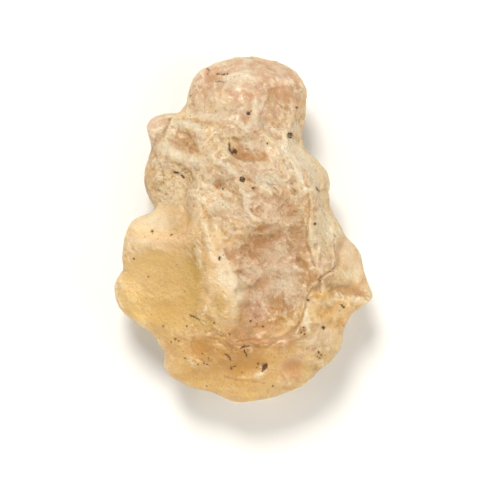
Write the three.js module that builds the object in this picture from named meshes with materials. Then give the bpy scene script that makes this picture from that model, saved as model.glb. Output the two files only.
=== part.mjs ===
// A raw piece of Libyan desert glass: one solid lump of natural silica glass,
// sand-worn into ridges, bowls and pits. It lies on its underside.
// Millimetres, +Z up, +Y towards the narrow head, origin at the middle of the base.
import * as THREE from "three";
import { ImprovedNoise } from "three/addons/math/ImprovedNoise.js";
import { mergeVertices } from "three/addons/utils/BufferGeometryUtils.js";

// Driving dimensions
const GIRTH_HEIGHT = 5.2; // height at which the lump is widest
const CREST_HEIGHT = 12.3; // top of the lump's dome
const BELLY_DEPTH = 0.75; // how much of the underside's dome is worn off flat
const EDGE_ROUNDING = 7.6; // how far in from its outline the lump is rounded over
const DOME_FALL = { x: 0.011, y: 0.0055 }; // how the dome falls away, per mm squared
const FACET_DETAIL = 18; // edge divisions of the icosahedron that is pushed into shape

// Outline of the main body seen from above, clockwise from the head's top
const BODY_OUTLINE = [
  [0.9, 19.1], [3.0, 18.75], [5.5, 17.6], [6.7, 16.2], [7.05, 14.4], [6.8, 12.6],
  [6.35, 11.0], [6.8, 9.5], [7.9, 7.8], [9.2, 6.0], [9.6, 4.6], [9.7, 2.9],
  [10.3, 0.8], [11.3, -0.9], [12.9, -2.4], [13.2, -4.2], [13.9, -6.2], [14.15, -7.5],
  [13.1, -8.5], [11.8, -9.4], [11.0, -10.9], [10.8, -12.6], [9.9, -14.2], [8.4, -15.5],
  [7.1, -16.9], [5.0, -18.0], [2.9, -18.65], [0.3, -19.1], [-1.4, -18.85], [-3.3, -18.1],
  [-5.4, -17.3], [-7.2, -16.8], [-8.2, -15.6], [-8.9, -13.4], [-10.3, -11.8], [-12.4, -9.7],
  [-13.0, -7.9], [-13.1, -6.2], [-13.25, -4.4], [-13.25, -2.5], [-13.0, -0.7], [-11.9, 1.1],
  [-10.1, 1.95], [-9.0, 3.4], [-8.9, 5.2], [-9.3, 6.8], [-9.9, 8.6], [-9.2, 10.0],
  [-7.9, 12.0], [-6.6, 13.4], [-6.15, 14.9], [-5.4, 16.7], [-3.8, 18.2], [-1.8, 18.9],
];

// Lobes that stand out behind the left edge, lower than the body's top
const LOBES = [
  { at: [-8.2, 10.5, 4.4], half: [2.25, 2.2, 3.3], turn: 20 },
  { at: [-8.8, 5.6, 4.2], half: [2.2, 3.4, 3.5], turn: 4 },
  { at: [-11.7, -6.9, 4.3], half: [2.65, 3.3, 3.2], turn: -8 },
];

// Rounded swellings of the upper face, each a hump of this height and these half sizes
const SWELLINGS = [
  { at: [-2.9, -3.0], half: [1.3, 4.2], turn: 8, height: 0.9 }, // spine beside the window
  { at: [-1.9, -7.6], half: [1.2, 2.6], turn: -16, height: 0.9 }, // spine's foot
  { at: [-8.6, 0.4], half: [4.4, 1.5], turn: -6, height: 0.6 }, // shoulder above the window
  { at: [-1.2, 6.2], half: [3.0, 1.2], turn: -42, height: 0.7 }, // slanting ridge
  { at: [0.8, 2.4], half: [0.9, 2.4], turn: 14, height: 0.5 }, // its tail
  { at: [7.2, 1.6], half: [1.1, 5.0], turn: 6, height: 0.7 }, // right flank's crest
  { at: [5.6, 8.2], half: [1.0, 3.4], turn: 16, height: 0.6 }, // the crest's upper end
  { at: [-5.6, 11.3], half: [3.2, 0.9], turn: -8, height: 0.6 }, // ridge at the upper left
  { at: [0.3, 16.2], half: [3.6, 2.0], turn: 0, height: 0.5 }, // head
  { at: [-5.0, 3.4], half: [1.0, 3.4], turn: 6, height: 0.5 }, // rib in the middle left
  { at: [2.6, -12.6], half: [3.6, 0.9], turn: 14, height: 0.5 }, // sill below the main bowl
  { at: [7.4, -9.6], half: [0.9, 3.4], turn: -8, height: 0.5 }, // sill right of the bowl
];

// Hollows worn into the upper face. Depth is below the dome, power shapes the floor (2 is a
// bowl, more is a tray with steeper walls), and slope tips the floor, per mm of x and of y.
const LEVEL = [0, 0];
const HOLLOWS = [
  { at: [-8.9, -6.4], half: [4.6, 5.0], turn: 4, depth: 1.9, power: 5, slope: [0.06, 0] }, // window
  { at: [2.6, -7.6], half: [4.0, 5.2], turn: -6, depth: 2.0, power: 3, slope: [0, 0.02] }, // main bowl
  { at: [3.5, -2.0], half: [4.2, 3.0], turn: 12, depth: 1.7, power: 3, slope: LEVEL }, // bowl's head
  { at: [4.9, 2.6], half: [1.7, 3.2], turn: 14, depth: 1.2, power: 2, slope: LEVEL }, // trough
  { at: [12.9, -3.6], half: [3.2, 4.6], turn: 20, depth: 2.9, power: 3, slope: LEVEL }, // wing
  { at: [11.2, -6.5], half: [2.9, 1.2], turn: -16, depth: 3.6, power: 2, slope: LEVEL }, // hook
  { at: [9.4, -9.2], half: [2.1, 1.6], turn: -20, depth: 1.8, power: 2, slope: LEVEL }, // dish
  { at: [9.4, -12.4], half: [2.3, 1.8], turn: -34, depth: 2.2, power: 2.4, slope: LEVEL }, // facet
  { at: [5.6, -15.2], half: [2.1, 1.7], turn: 20, depth: 1.8, power: 2.4, slope: LEVEL }, // dimple
  { at: [-4.9, -13.4], half: [2.2, 1.9], turn: 0, depth: 1.4, power: 2, slope: LEVEL }, // dish
  { at: [-0.2, -15.0], half: [2.4, 1.5], turn: -10, depth: 1.6, power: 2, slope: LEVEL }, // cracked dish
  { at: [-9.4, -11.4], half: [2.0, 1.4], turn: -42, depth: 1.8, power: 2, slope: LEVEL }, // low left
  { at: [0.6, 8.9], half: [2.5, 1.6], turn: -6, depth: 1.3, power: 2.4, slope: [0, 0.16] }, // crescent
  { at: [-6.4, 9.7], half: [2.0, 1.5], turn: -20, depth: 1.7, power: 2, slope: LEVEL }, // upper left
  { at: [-6.9, 5.6], half: [1.7, 2.0], turn: 0, depth: 1.7, power: 2, slope: LEVEL }, // left pit
  { at: [-6.3, 1.8], half: [0.9, 2.4], turn: -4, depth: 1.2, power: 2, slope: LEVEL }, // left groove
  { at: [-2.9, 4.7], half: [1.3, 1.0], turn: 0, depth: 1.0, power: 2, slope: LEVEL }, // rusty pit
  { at: [2.6, 5.2], half: [2.1, 1.2], turn: -14, depth: 0.9, power: 2, slope: LEVEL }, // dimple
  { at: [-2.9, 1.3], half: [1.6, 1.3], turn: 0, depth: 0.8, power: 2, slope: LEVEL }, // dimple
  { at: [4.2, 14.2], half: [2.2, 1.8], turn: 10, depth: 1.4, power: 2, slope: LEVEL }, // head, right
  { at: [-3.0, 16.6], half: [1.9, 1.0], turn: 14, depth: 1.5, power: 2, slope: LEVEL }, // head, left
  { at: [-3.4, 13.0], half: [3.0, 1.0], turn: -2, depth: 1.3, power: 2, slope: LEVEL }, // neck groove
  { at: [3.0, 11.4], half: [1.9, 1.3], turn: 0, depth: 1.1, power: 2, slope: LEVEL }, // neck, right
  { at: [8.2, 5.4], half: [1.4, 2.8], turn: 24, depth: 1.8, power: 2, slope: LEVEL }, // right facet
  { at: [9.2, -1.0], half: [1.3, 2.4], turn: 10, depth: 1.7, power: 2, slope: LEVEL }, // flank's dish
  { at: [-10.6, 0.4], half: [1.5, 1.0], turn: 20, depth: 0.7, power: 2, slope: LEVEL }, // shoulder's dimple
];

// Hollows in the underside, by how far each is worn up into it
const UNDER_HOLLOWS = [
  { at: [0.6, -1.6], half: [3.9, 4.6], turn: 20, depth: 1.1 },
  { at: [-8.0, -1.8], half: [3.6, 3.2], turn: -10, depth: 1.5 },
  { at: [9.0, -3.6], half: [3.2, 3.9], turn: 0, depth: 1.5 },
  { at: [3.9, 7.4], half: [2.7, 2.9], turn: 30, depth: 1.1 },
  { at: [-5.4, 9.6], half: [2.8, 2.8], turn: 0, depth: 1.2 },
  { at: [1.4, 15.0], half: [3.4, 2.4], turn: 0, depth: 1.0 },
  { at: [-6.6, -12.6], half: [3.2, 2.6], turn: 30, depth: 1.3 },
  { at: [5.4, -13.9], half: [3.4, 2.8], turn: -15, depth: 1.2 },
];

// Dents in the sides: where round the lump they lie, how wide and how deep
const SIDE_DENTS = [
  { bearing: 58, reach: 12.6, height: 8.0, half: [2.4, 1.6], depth: 0.6 },
  { bearing: 15, reach: 10.2, height: 2.8, half: [2.4, 1.6], depth: 0.7 },
  { bearing: -62, reach: 16.6, height: 2.6, half: [3.0, 1.5], depth: 0.7 },
  { bearing: -98, reach: 18.2, height: 7.9, half: [2.8, 1.5], depth: 0.6 },
  { bearing: 218, reach: 15.6, height: 3.0, half: [2.9, 1.5], depth: 0.7 },
  { bearing: 100, reach: 18.0, height: 2.6, half: [2.6, 1.5], depth: 0.6 },
  { bearing: 78, reach: 18.0, height: 8.4, half: [2.2, 1.4], depth: 0.5 },
];

// Natural unevenness of the skin: wavelength and height of each layer
const UNEVENNESS = [
  { wavelength: 6.5, height: 0.5 },
  { wavelength: 2.6, height: 0.26 },
];
const CALM_GIRTH = 2.4; // height either side of the girth where the outline stays true

// How softly surfaces meet
const HOLLOW_RIM = 0.4;
const HOLLOW_REACH = 3; // spread past which a hollow's floor rises no more
const LOBE_SEAM = 0.6;
const UNDER_RIM = 1.1;

// Shrink-wrapping the facets onto the skin
const BALL_GIRTH = 0.24; // how far below the ball's middle the lump's girth is taken
const EDGE_CROWDING = 0.42; // below 0.5, facets gather towards the lump's sides
const START_RADIUS = 24;
const RADIUS_STEPS = 60;
const LONGEST_STEP = 0.5;
const STEP_SHARE = 0.8;
const WRAP_ROUNDS = 54;
const FINAL_ROUNDS = 4; // rounds at the end that only settle, with no relaxing
const RELAX_KEEP = 0.4; // share of its own place that a vertex keeps as it relaxes
const LONGEST_MOVE = 0.6;
const SLOPE_STEP = 0.02;
const GENTLEST_SLOPE = 0.2;
const BASE_SNAP = 0.03; // vertices lower than this lie on the base

const DEGREE = Math.PI / 180;
const { clamp, smoothstep } = THREE.MathUtils;

// Smooth minimum and maximum: two surfaces blend over a width of softness.
function smoothMin(a, b, softness) {
  const overlap = Math.max(softness - Math.abs(a - b), 0) / softness;
  return Math.min(a, b) - (overlap * overlap * softness) / 4;
}

function smoothMax(a, b, softness) {
  return -smoothMin(-a, -b, softness);
}

// How far a point in plan is from a feature's centre, as a share of its half sizes, to a power.
function spread(x, y, { at, half, turn, power = 2 }) {
  const c = Math.cos(turn * DEGREE);
  const s = Math.sin(turn * DEGREE);
  const dx = x - at[0];
  const dy = y - at[1];
  const u = Math.abs(dx * c + dy * s) / half[0];
  const v = Math.abs(dy * c - dx * s) / half[1];
  return u ** power + v ** power;
}

const outlineCurve = new THREE.CatmullRomCurve3(
  BODY_OUTLINE.map(([x, y]) => new THREE.Vector3(x, y, 0)),
  true,
  "centripetal",
);
const outline = outlineCurve.getPoints(BODY_OUTLINE.length * 2).slice(0, -1);

// Distance to the outline in plan, negative inside it.
function outlineDistance(x, y) {
  let nearest = Infinity;
  let inside = false;
  for (let i = 0, j = outline.length - 1; i < outline.length; j = i++) {
    const a = outline[j];
    const b = outline[i];
    const ex = b.x - a.x;
    const ey = b.y - a.y;
    const px = x - a.x;
    const py = y - a.y;
    const along = clamp((px * ex + py * ey) / (ex * ex + ey * ey), 0, 1);
    nearest = Math.min(nearest, (px - ex * along) ** 2 + (py - ey * along) ** 2);
    if (a.y > y !== b.y > y && x < a.x + (ex * (y - a.y)) / ey) inside = !inside;
  }
  return Math.sqrt(nearest) * (inside ? -1 : 1);
}

function domeFall(x, y) {
  return DOME_FALL.x * (x + 1) ** 2 + DOME_FALL.y * (y - 1) ** 2;
}

// Height of the upper face: the dome and its swellings, with the hollows worn into it. It holds
// in full well inside the outline, and less towards the edge, where the lump is rounded over.
function faceHeight(x, y) {
  let dome = CREST_HEIGHT - domeFall(x, y);
  for (const swelling of SWELLINGS) dome += swelling.height * Math.exp(-spread(x, y, swelling));
  let height = dome;
  for (const hollow of HOLLOWS) {
    const { at, depth, slope } = hollow;
    const tip = slope[0] * (x - at[0]) + slope[1] * (y - at[1]);
    const floor = dome - depth * (1 - Math.min(spread(x, y, hollow), HOLLOW_REACH)) + tip;
    height = smoothMin(height, floor, HOLLOW_RIM);
  }
  return height;
}

// The main body: its outline carried up and down from the girth and rounded over at the edge
function bodyDistance(x, y, z) {
  const inward = Math.max(outlineDistance(x, y) + EDGE_ROUNDING, 0) / EDGE_ROUNDING;
  const above = z > GIRTH_HEIGHT;
  const full = above ? faceHeight(x, y) - GIRTH_HEIGHT : GIRTH_HEIGHT + BELLY_DEPTH - domeFall(x, y);
  return (Math.hypot(inward, (z - GIRTH_HEIGHT) / full) - 1) * EDGE_ROUNDING;
}

function lobeDistance(x, y, z, lobe) {
  const reach = Math.hypot(Math.sqrt(spread(x, y, lobe)), (z - lobe.at[2]) / lobe.half[2]);
  return (reach - 1) * Math.min(...lobe.half);
}

// Depth below the roof of a hollow in the underside: what is below the roof is worn away.
function underHollow(x, y, z, hollow) {
  return hollow.depth * (1 - spread(x, y, hollow)) + domeFall(x, y) - z;
}

// How far a side dent pushes the skin in at a point
function dentDepth(x, y, z, { bearing, reach, height, half, depth }) {
  const dx = x - reach * Math.cos(bearing * DEGREE);
  const dy = y - reach * Math.sin(bearing * DEGREE);
  const around = Math.hypot(dx, dy) / half[0];
  const up = (z - height) / half[1];
  return depth * Math.exp(-around * around - up * up);
}

const noise = new ImprovedNoise();

function unevenness(x, y, z) {
  const calm = smoothstep(Math.abs(z - GIRTH_HEIGHT), 0, CALM_GIRTH);
  let sum = 0;
  for (const { wavelength, height } of UNEVENNESS) {
    sum += height * noise.noise(x / wavelength, y / wavelength, z / wavelength + 7);
  }
  return sum * calm;
}

// The lump's skin is where this is zero; it is negative inside.
function stone(x, y, z) {
  let d = bodyDistance(x, y, z);
  for (const lobe of LOBES) d = smoothMin(d, lobeDistance(x, y, z, lobe), LOBE_SEAM);
  for (const dent of SIDE_DENTS) d += dentDepth(x, y, z, dent);
  for (const hollow of UNDER_HOLLOWS) d = smoothMax(d, underHollow(x, y, z, hollow), UNDER_RIM);
  d += unevenness(x, y, z);
  return Math.max(d, -z);
}

// Radius of the lump, lobes included, in a direction from the origin: found by steps inwards
// from well outside, each a little shorter than the gap that is left
function planRadius(cosine, sine) {
  let radius = START_RADIUS;
  for (let i = 0; i < RADIUS_STEPS; i++) {
    const x = radius * cosine;
    const y = radius * sine;
    const gaps = LOBES.map((lobe) => lobeDistance(x, y, lobe.at[2], lobe));
    const gap = Math.min(outlineDistance(x, y), ...gaps);
    radius -= clamp(gap, -LONGEST_STEP, LONGEST_STEP) * STEP_SHARE;
  }
  return radius;
}

// A unit ball's point, stretched to a plain cushion of the lump's outline and height. The
// ball's girth is taken a little below its middle, so that the upper face gets more facets.
function stretch(point) {
  const flat = Math.hypot(point.x, point.y);
  const cosine = flat > 1e-9 ? point.x / flat : 1;
  const sine = flat > 1e-9 ? point.y / flat : 0;
  const above = point.z + BALL_GIRTH;
  const rise = above > 0 ? above / (1 + BALL_GIRTH) : above / (1 - BALL_GIRTH);
  const radius = planRadius(cosine, sine) * (1 - Math.abs(rise)) ** EDGE_CROWDING;
  const height = rise > 0 ? CREST_HEIGHT - GIRTH_HEIGHT : GIRTH_HEIGHT;
  const fullness = Math.sign(rise) * Math.sqrt(Math.abs(rise));
  return new THREE.Vector3(radius * cosine, radius * sine, GIRTH_HEIGHT + height * fullness);
}

// Moves a point along the skin's slope until it lies on the skin.
function settle(p) {
  const d = stone(p.x, p.y, p.z);
  const slope = new THREE.Vector3(
    stone(p.x + SLOPE_STEP, p.y, p.z) - d,
    stone(p.x, p.y + SLOPE_STEP, p.z) - d,
    stone(p.x, p.y, p.z + SLOPE_STEP) - d,
  ).divideScalar(SLOPE_STEP);
  const move = clamp(d / Math.max(slope.lengthSq(), GENTLEST_SLOPE), -LONGEST_MOVE, LONGEST_MOVE);
  p.addScaledVector(slope, -move);
}

// For each vertex of an indexed geometry, the vertices that it shares an edge with
function neighboursOf(index, count) {
  const sets = Array.from({ length: count }, () => new Set());
  for (let i = 0; i < index.count; i += 3) {
    for (let k = 0; k < 3; k++) {
      const a = index.getX(i + k);
      sets[a].add(index.getX(i + ((k + 1) % 3)));
      sets[a].add(index.getX(i + ((k + 2) % 3)));
    }
  }
  return sets.map((set) => [...set]);
}

function lumpGeometry() {
  const ball = new THREE.IcosahedronGeometry(1, FACET_DETAIL);
  ball.deleteAttribute("normal");
  ball.deleteAttribute("uv");
  const geometry = mergeVertices(ball, 1e-4);
  const position = geometry.getAttribute("position");
  const neighbours = neighboursOf(geometry.index, position.count);
  let points = neighbours.map((_, i) => stretch(new THREE.Vector3().fromBufferAttribute(position, i)));
  for (let round = 0; round < WRAP_ROUNDS + FINAL_ROUNDS; round++) {
    if (round < WRAP_ROUNDS) {
      points = points.map((p, i) => {
        const middle = new THREE.Vector3();
        for (const n of neighbours[i]) middle.add(points[n]);
        return middle.divideScalar(neighbours[i].length).lerp(p, RELAX_KEEP);
      });
    }
    points.forEach(settle);
  }
  points.forEach((p, i) => position.setXYZ(i, p.x, p.y, p.z < BASE_SNAP ? 0 : p.z));
  geometry.computeBoundingBox();
  const middle = geometry.boundingBox.getCenter(new THREE.Vector3());
  geometry.translate(-middle.x, -middle.y, 0);
  geometry.computeVertexNormals();
  return geometry;
}

const desertGlass = new THREE.Mesh(
  lumpGeometry(),
  new THREE.MeshStandardMaterial({ color: 0xe3c48d, roughness: 0.42, metalness: 0 }),
);
desertGlass.name = "desert_glass";

const root = new THREE.Group();
root.add(desertGlass);

export default root;
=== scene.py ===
import math

import bmesh
import bpy
import numpy as np
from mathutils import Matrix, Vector, noise


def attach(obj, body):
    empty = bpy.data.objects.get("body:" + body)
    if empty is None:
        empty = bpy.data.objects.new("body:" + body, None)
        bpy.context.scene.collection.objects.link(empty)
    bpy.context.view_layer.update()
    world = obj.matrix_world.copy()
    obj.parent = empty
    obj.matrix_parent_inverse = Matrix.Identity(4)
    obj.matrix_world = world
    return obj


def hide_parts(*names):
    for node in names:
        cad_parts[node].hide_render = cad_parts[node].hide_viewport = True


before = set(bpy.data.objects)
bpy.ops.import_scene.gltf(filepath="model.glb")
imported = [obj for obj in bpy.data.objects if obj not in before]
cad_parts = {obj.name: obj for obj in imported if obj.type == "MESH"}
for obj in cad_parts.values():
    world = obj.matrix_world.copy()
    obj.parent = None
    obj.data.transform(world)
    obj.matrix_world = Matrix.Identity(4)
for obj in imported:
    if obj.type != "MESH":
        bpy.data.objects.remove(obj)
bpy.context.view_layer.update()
mm = 0.001

# Camera: straight down on the stone as it lies, with the narrow head at the top
shot = {
    "lens": 146.6,  # on the 36 mm sensor
    "height": 0.2215,
    "over": (-0.35, -1.17),  # mm
    "halfWay": 6.5,  # mm up the stone, where places in the strokes and spots are exact
}


def makeCamera():
    data = bpy.data.cameras.new("camera")
    data.lens = shot["lens"]
    data.sensor_width = 36
    camera = bpy.data.objects.new("camera", data)
    camera.location = (shot["over"][0] * mm, shot["over"][1] * mm, shot["height"])
    bpy.context.scene.collection.objects.link(camera)
    bpy.context.scene.camera = camera
    print("camera over the stone")


# Strokes and spots are placed in plan, in mm, as the camera sees them

# Crests: a path, the half width and the height that it stands up
crests = [
    ([(-8.1, 11.3), (-6.9, 11.6), (-5.4, 11.3), (-4.7, 10.5), (-4.2, 9.8)], 0.5, 0.30),
    ([(-8.9, 9.3), (-7.8, 8.4), (-6.3, 7.7), (-5.0, 7.3)], 0.6, 0.22),
    ([(-3.2, 7.8), (-2.3, 7.3), (-1.5, 6.8), (-0.6, 6.0)], 0.38, 0.4),
    ([(-1.7, 9.4), (-1.75, 8.6), (-1.1, 7.8), (0.2, 7.3), (1.6, 7.5)], 0.35, 0.18),
    ([(-0.2, 4.9), (0.2, 3.6), (0.3, 2.5), (0.9, 1.3), (1.7, 0.9)], 0.36, 0.26),
    ([(4.4, 10.6), (5.0, 9.0), (4.9, 8.0), (5.6, 6.7), (6.3, 5.3), (6.9, 4.3)], 0.42, 0.3),
    ([(5.6, 9.6), (5.7, 8.2), (6.6, 6.6), (7.4, 5.2)], 0.34, 0.18),
    ([(7.6, 3.9), (7.6, 2.2), (7.4, 0.6), (7.5, -1.4), (7.9, -2.8), (8.3, -4.4)], 0.5, 0.12),
    ([(-4.9, 4.6), (-4.8, 3.0), (-4.9, 1.6), (-5.0, 0.4)], 0.45, 0.22),
    ([(-3.9, 0.2), (-3.6, -1.6), (-3.0, -3.4), (-2.2, -5.0), (-1.6, -6.4)], 0.7, 0.28),
    ([(-1.6, -4.0), (-1.0, -5.6), (-0.4, -7.2), (-0.7, -8.8), (-1.4, -10.2)], 0.8, 0.2),
    ([(-2.7, -1.5), (-1.4, -0.5), (0.2, -0.45), (1.2, 0.2)], 0.34, 0.26),
    ([(2.6, -0.3), (3.9, 0.2), (5.3, 0.9), (6.1, 1.5)], 0.34, 0.08),
    ([(4.4, -12.5), (5.9, -11.6), (6.7, -9.9), (7.2, -7.9)], 0.5, 0.06),
    ([(9.4, 0.4), (9.9, -1.0), (10.1, -2.6), (9.9, -4.2)], 0.34, 0.24),
    ([(7.3, -7.1), (8.0, -6.1), (8.6, -5.6), (9.6, -5.0)], 0.36, 0.08),
    ([(8.6, -8.1), (10.4, -7.6), (12.0, -7.7), (12.9, -8.2)], 0.5, 0.2),
    ([(1.3, 14.4), (1.5, 13.3), (1.8, 12.2)], 0.26, 0.14),
    ([(2.6, 14.9), (2.2, 14.0), (2.0, 12.9)], 0.26, 0.14),
    ([(-1.2, 17.1), (-0.2, 17.2), (0.9, 17.0)], 0.6, 0.14),
    ([(-5.6, 13.2), (-3.6, 13.9), (-1.4, 13.8)], 0.5, 0.06),
    ([(-5.9, 12.3), (-3.6, 12.2), (-1.6, 12.3)], 0.3, 0.12),
    ([(-5.2, -11.6), (-3.4, -11.3), (-1.9, -11.6), (-0.9, -12.4)], 0.5, 0.1),
    ([(1.0, -16.2), (2.4, -15.9), (3.6, -15.0)], 0.36, 0.08),
    ([(4.0, -16.6), (4.9, -17.0), (5.8, -16.8)], 0.4, 0.16),
    ([(-12.4, -1.1), (-10.8, -1.4), (-9.2, -2.1), (-7.2, -2.6), (-5.8, -2.7)], 0.5, 0.14),
]

# Grooves: a path, the half width and the depth
grooves = [
    ([(-8.0, 12.3), (-8.2, 11.4), (-8.5, 10.8), (-9.3, 10.0), (-9.9, 9.3)], 0.4, 0.3),
    ([(-9.2, 8.6), (-8.7, 7.2), (-8.6, 5.6), (-9.0, 3.8)], 0.4, 0.14),
    ([(-6.9, 10.9), (-6.1, 10.8), (-5.6, 10.2), (-5.4, 9.2)], 0.35, 0.08),
    ([(-7.6, 10.1), (-6.1, 9.2), (-5.3, 8.5)], 0.35, 0.06),
    ([(-7.8, 9.4), (-6.6, 8.7), (-5.8, 8.0)], 0.35, 0.1),
    ([(-6.0, 11.9), (-4.0, 11.7), (-2.0, 11.4)], 0.6, 0.16),
    ([(-3.1, 17.2), (-2.4, 17.15), (-1.7, 17.2)], 0.22, 0.14),
    ([(-3.4, 16.2), (-2.6, 16.25), (-1.6, 16.5)], 0.26, 0.14),
    ([(-4.2, 17.9), (-3.7, 17.6), (-3.9, 17.1), (-3.3, 16.7)], 0.22, 0.12),
    ([(-1.4, 9.3), (-1.35, 8.7), (-0.9, 8.3), (0.1, 8.0), (1.4, 7.9), (2.6, 8.0)], 0.45, 0.16),
    ([(-0.7, 7.6), (0.0, 6.9), (0.5, 6.2)], 0.4, 0.12),
    ([(1.0, 4.5), (1.8, 4.2), (3.0, 4.3)], 0.5, 0.18),
    ([(-6.2, 4.4), (-6.1, 2.6), (-6.2, 0.8), (-5.9, -0.6)], 0.5, 0.12),
    ([(-4.5, -3.0), (-4.3, -4.8), (-4.3, -6.6), (-4.2, -8.2)], 0.5, 0.28),
    ([(-0.2, -1.1), (0.8, -1.0), (2.2, -0.9), (4.0, -0.5), (5.4, 0.2)], 0.6, 0.14),
    ([(6.5, 1.4), (6.4, -0.4), (5.9, -2.0), (6.3, -3.4), (7.2, -4.6), (7.4, -5.8)], 0.5, 0.24),
    ([(0.3, -12.4), (1.8, -12.3), (3.6, -12.2), (5.2, -11.5), (6.0, -10.0), (6.5, -8.2)], 0.45, 0.22),
    ([(9.7, -4.6), (8.9, -5.0), (8.4, -5.5), (8.35, -6.3)], 0.24, 0.2),
    ([(7.6, -5.4), (7.2, -6.4), (6.9, -7.4)], 0.4, 0.2),
    ([(9.5, -6.7), (11.0, -6.4), (12.3, -6.7), (13.3, -7.4)], 0.5, 0.12),
    ([(10.4, -0.4), (10.6, -2.2), (10.6, -4.0)], 0.5, 0.2),
    ([(6.3, -10.6), (6.35, -11.6)], 0.16, 0.14),
    ([(6.75, -10.8), (6.8, -11.5)], 0.16, 0.12),
    ([(-4.6, -12.4), (-3.0, -12.3), (-1.8, -12.9), (-1.0, -13.9)], 0.45, 0.1),
    ([(-5.9, -9.4), (-5.3, -9.7), (-4.8, -9.9)], 0.1, 0.1),
    ([(7.2, 4.0), (7.9, 2.6), (7.8, 0.9), (8.2, -0.9)], 0.5, 0.14),
    ([(4.3, 9.4), (4.1, 8.3), (4.8, 7.0), (5.5, 5.6)], 0.45, 0.16),
]

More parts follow.
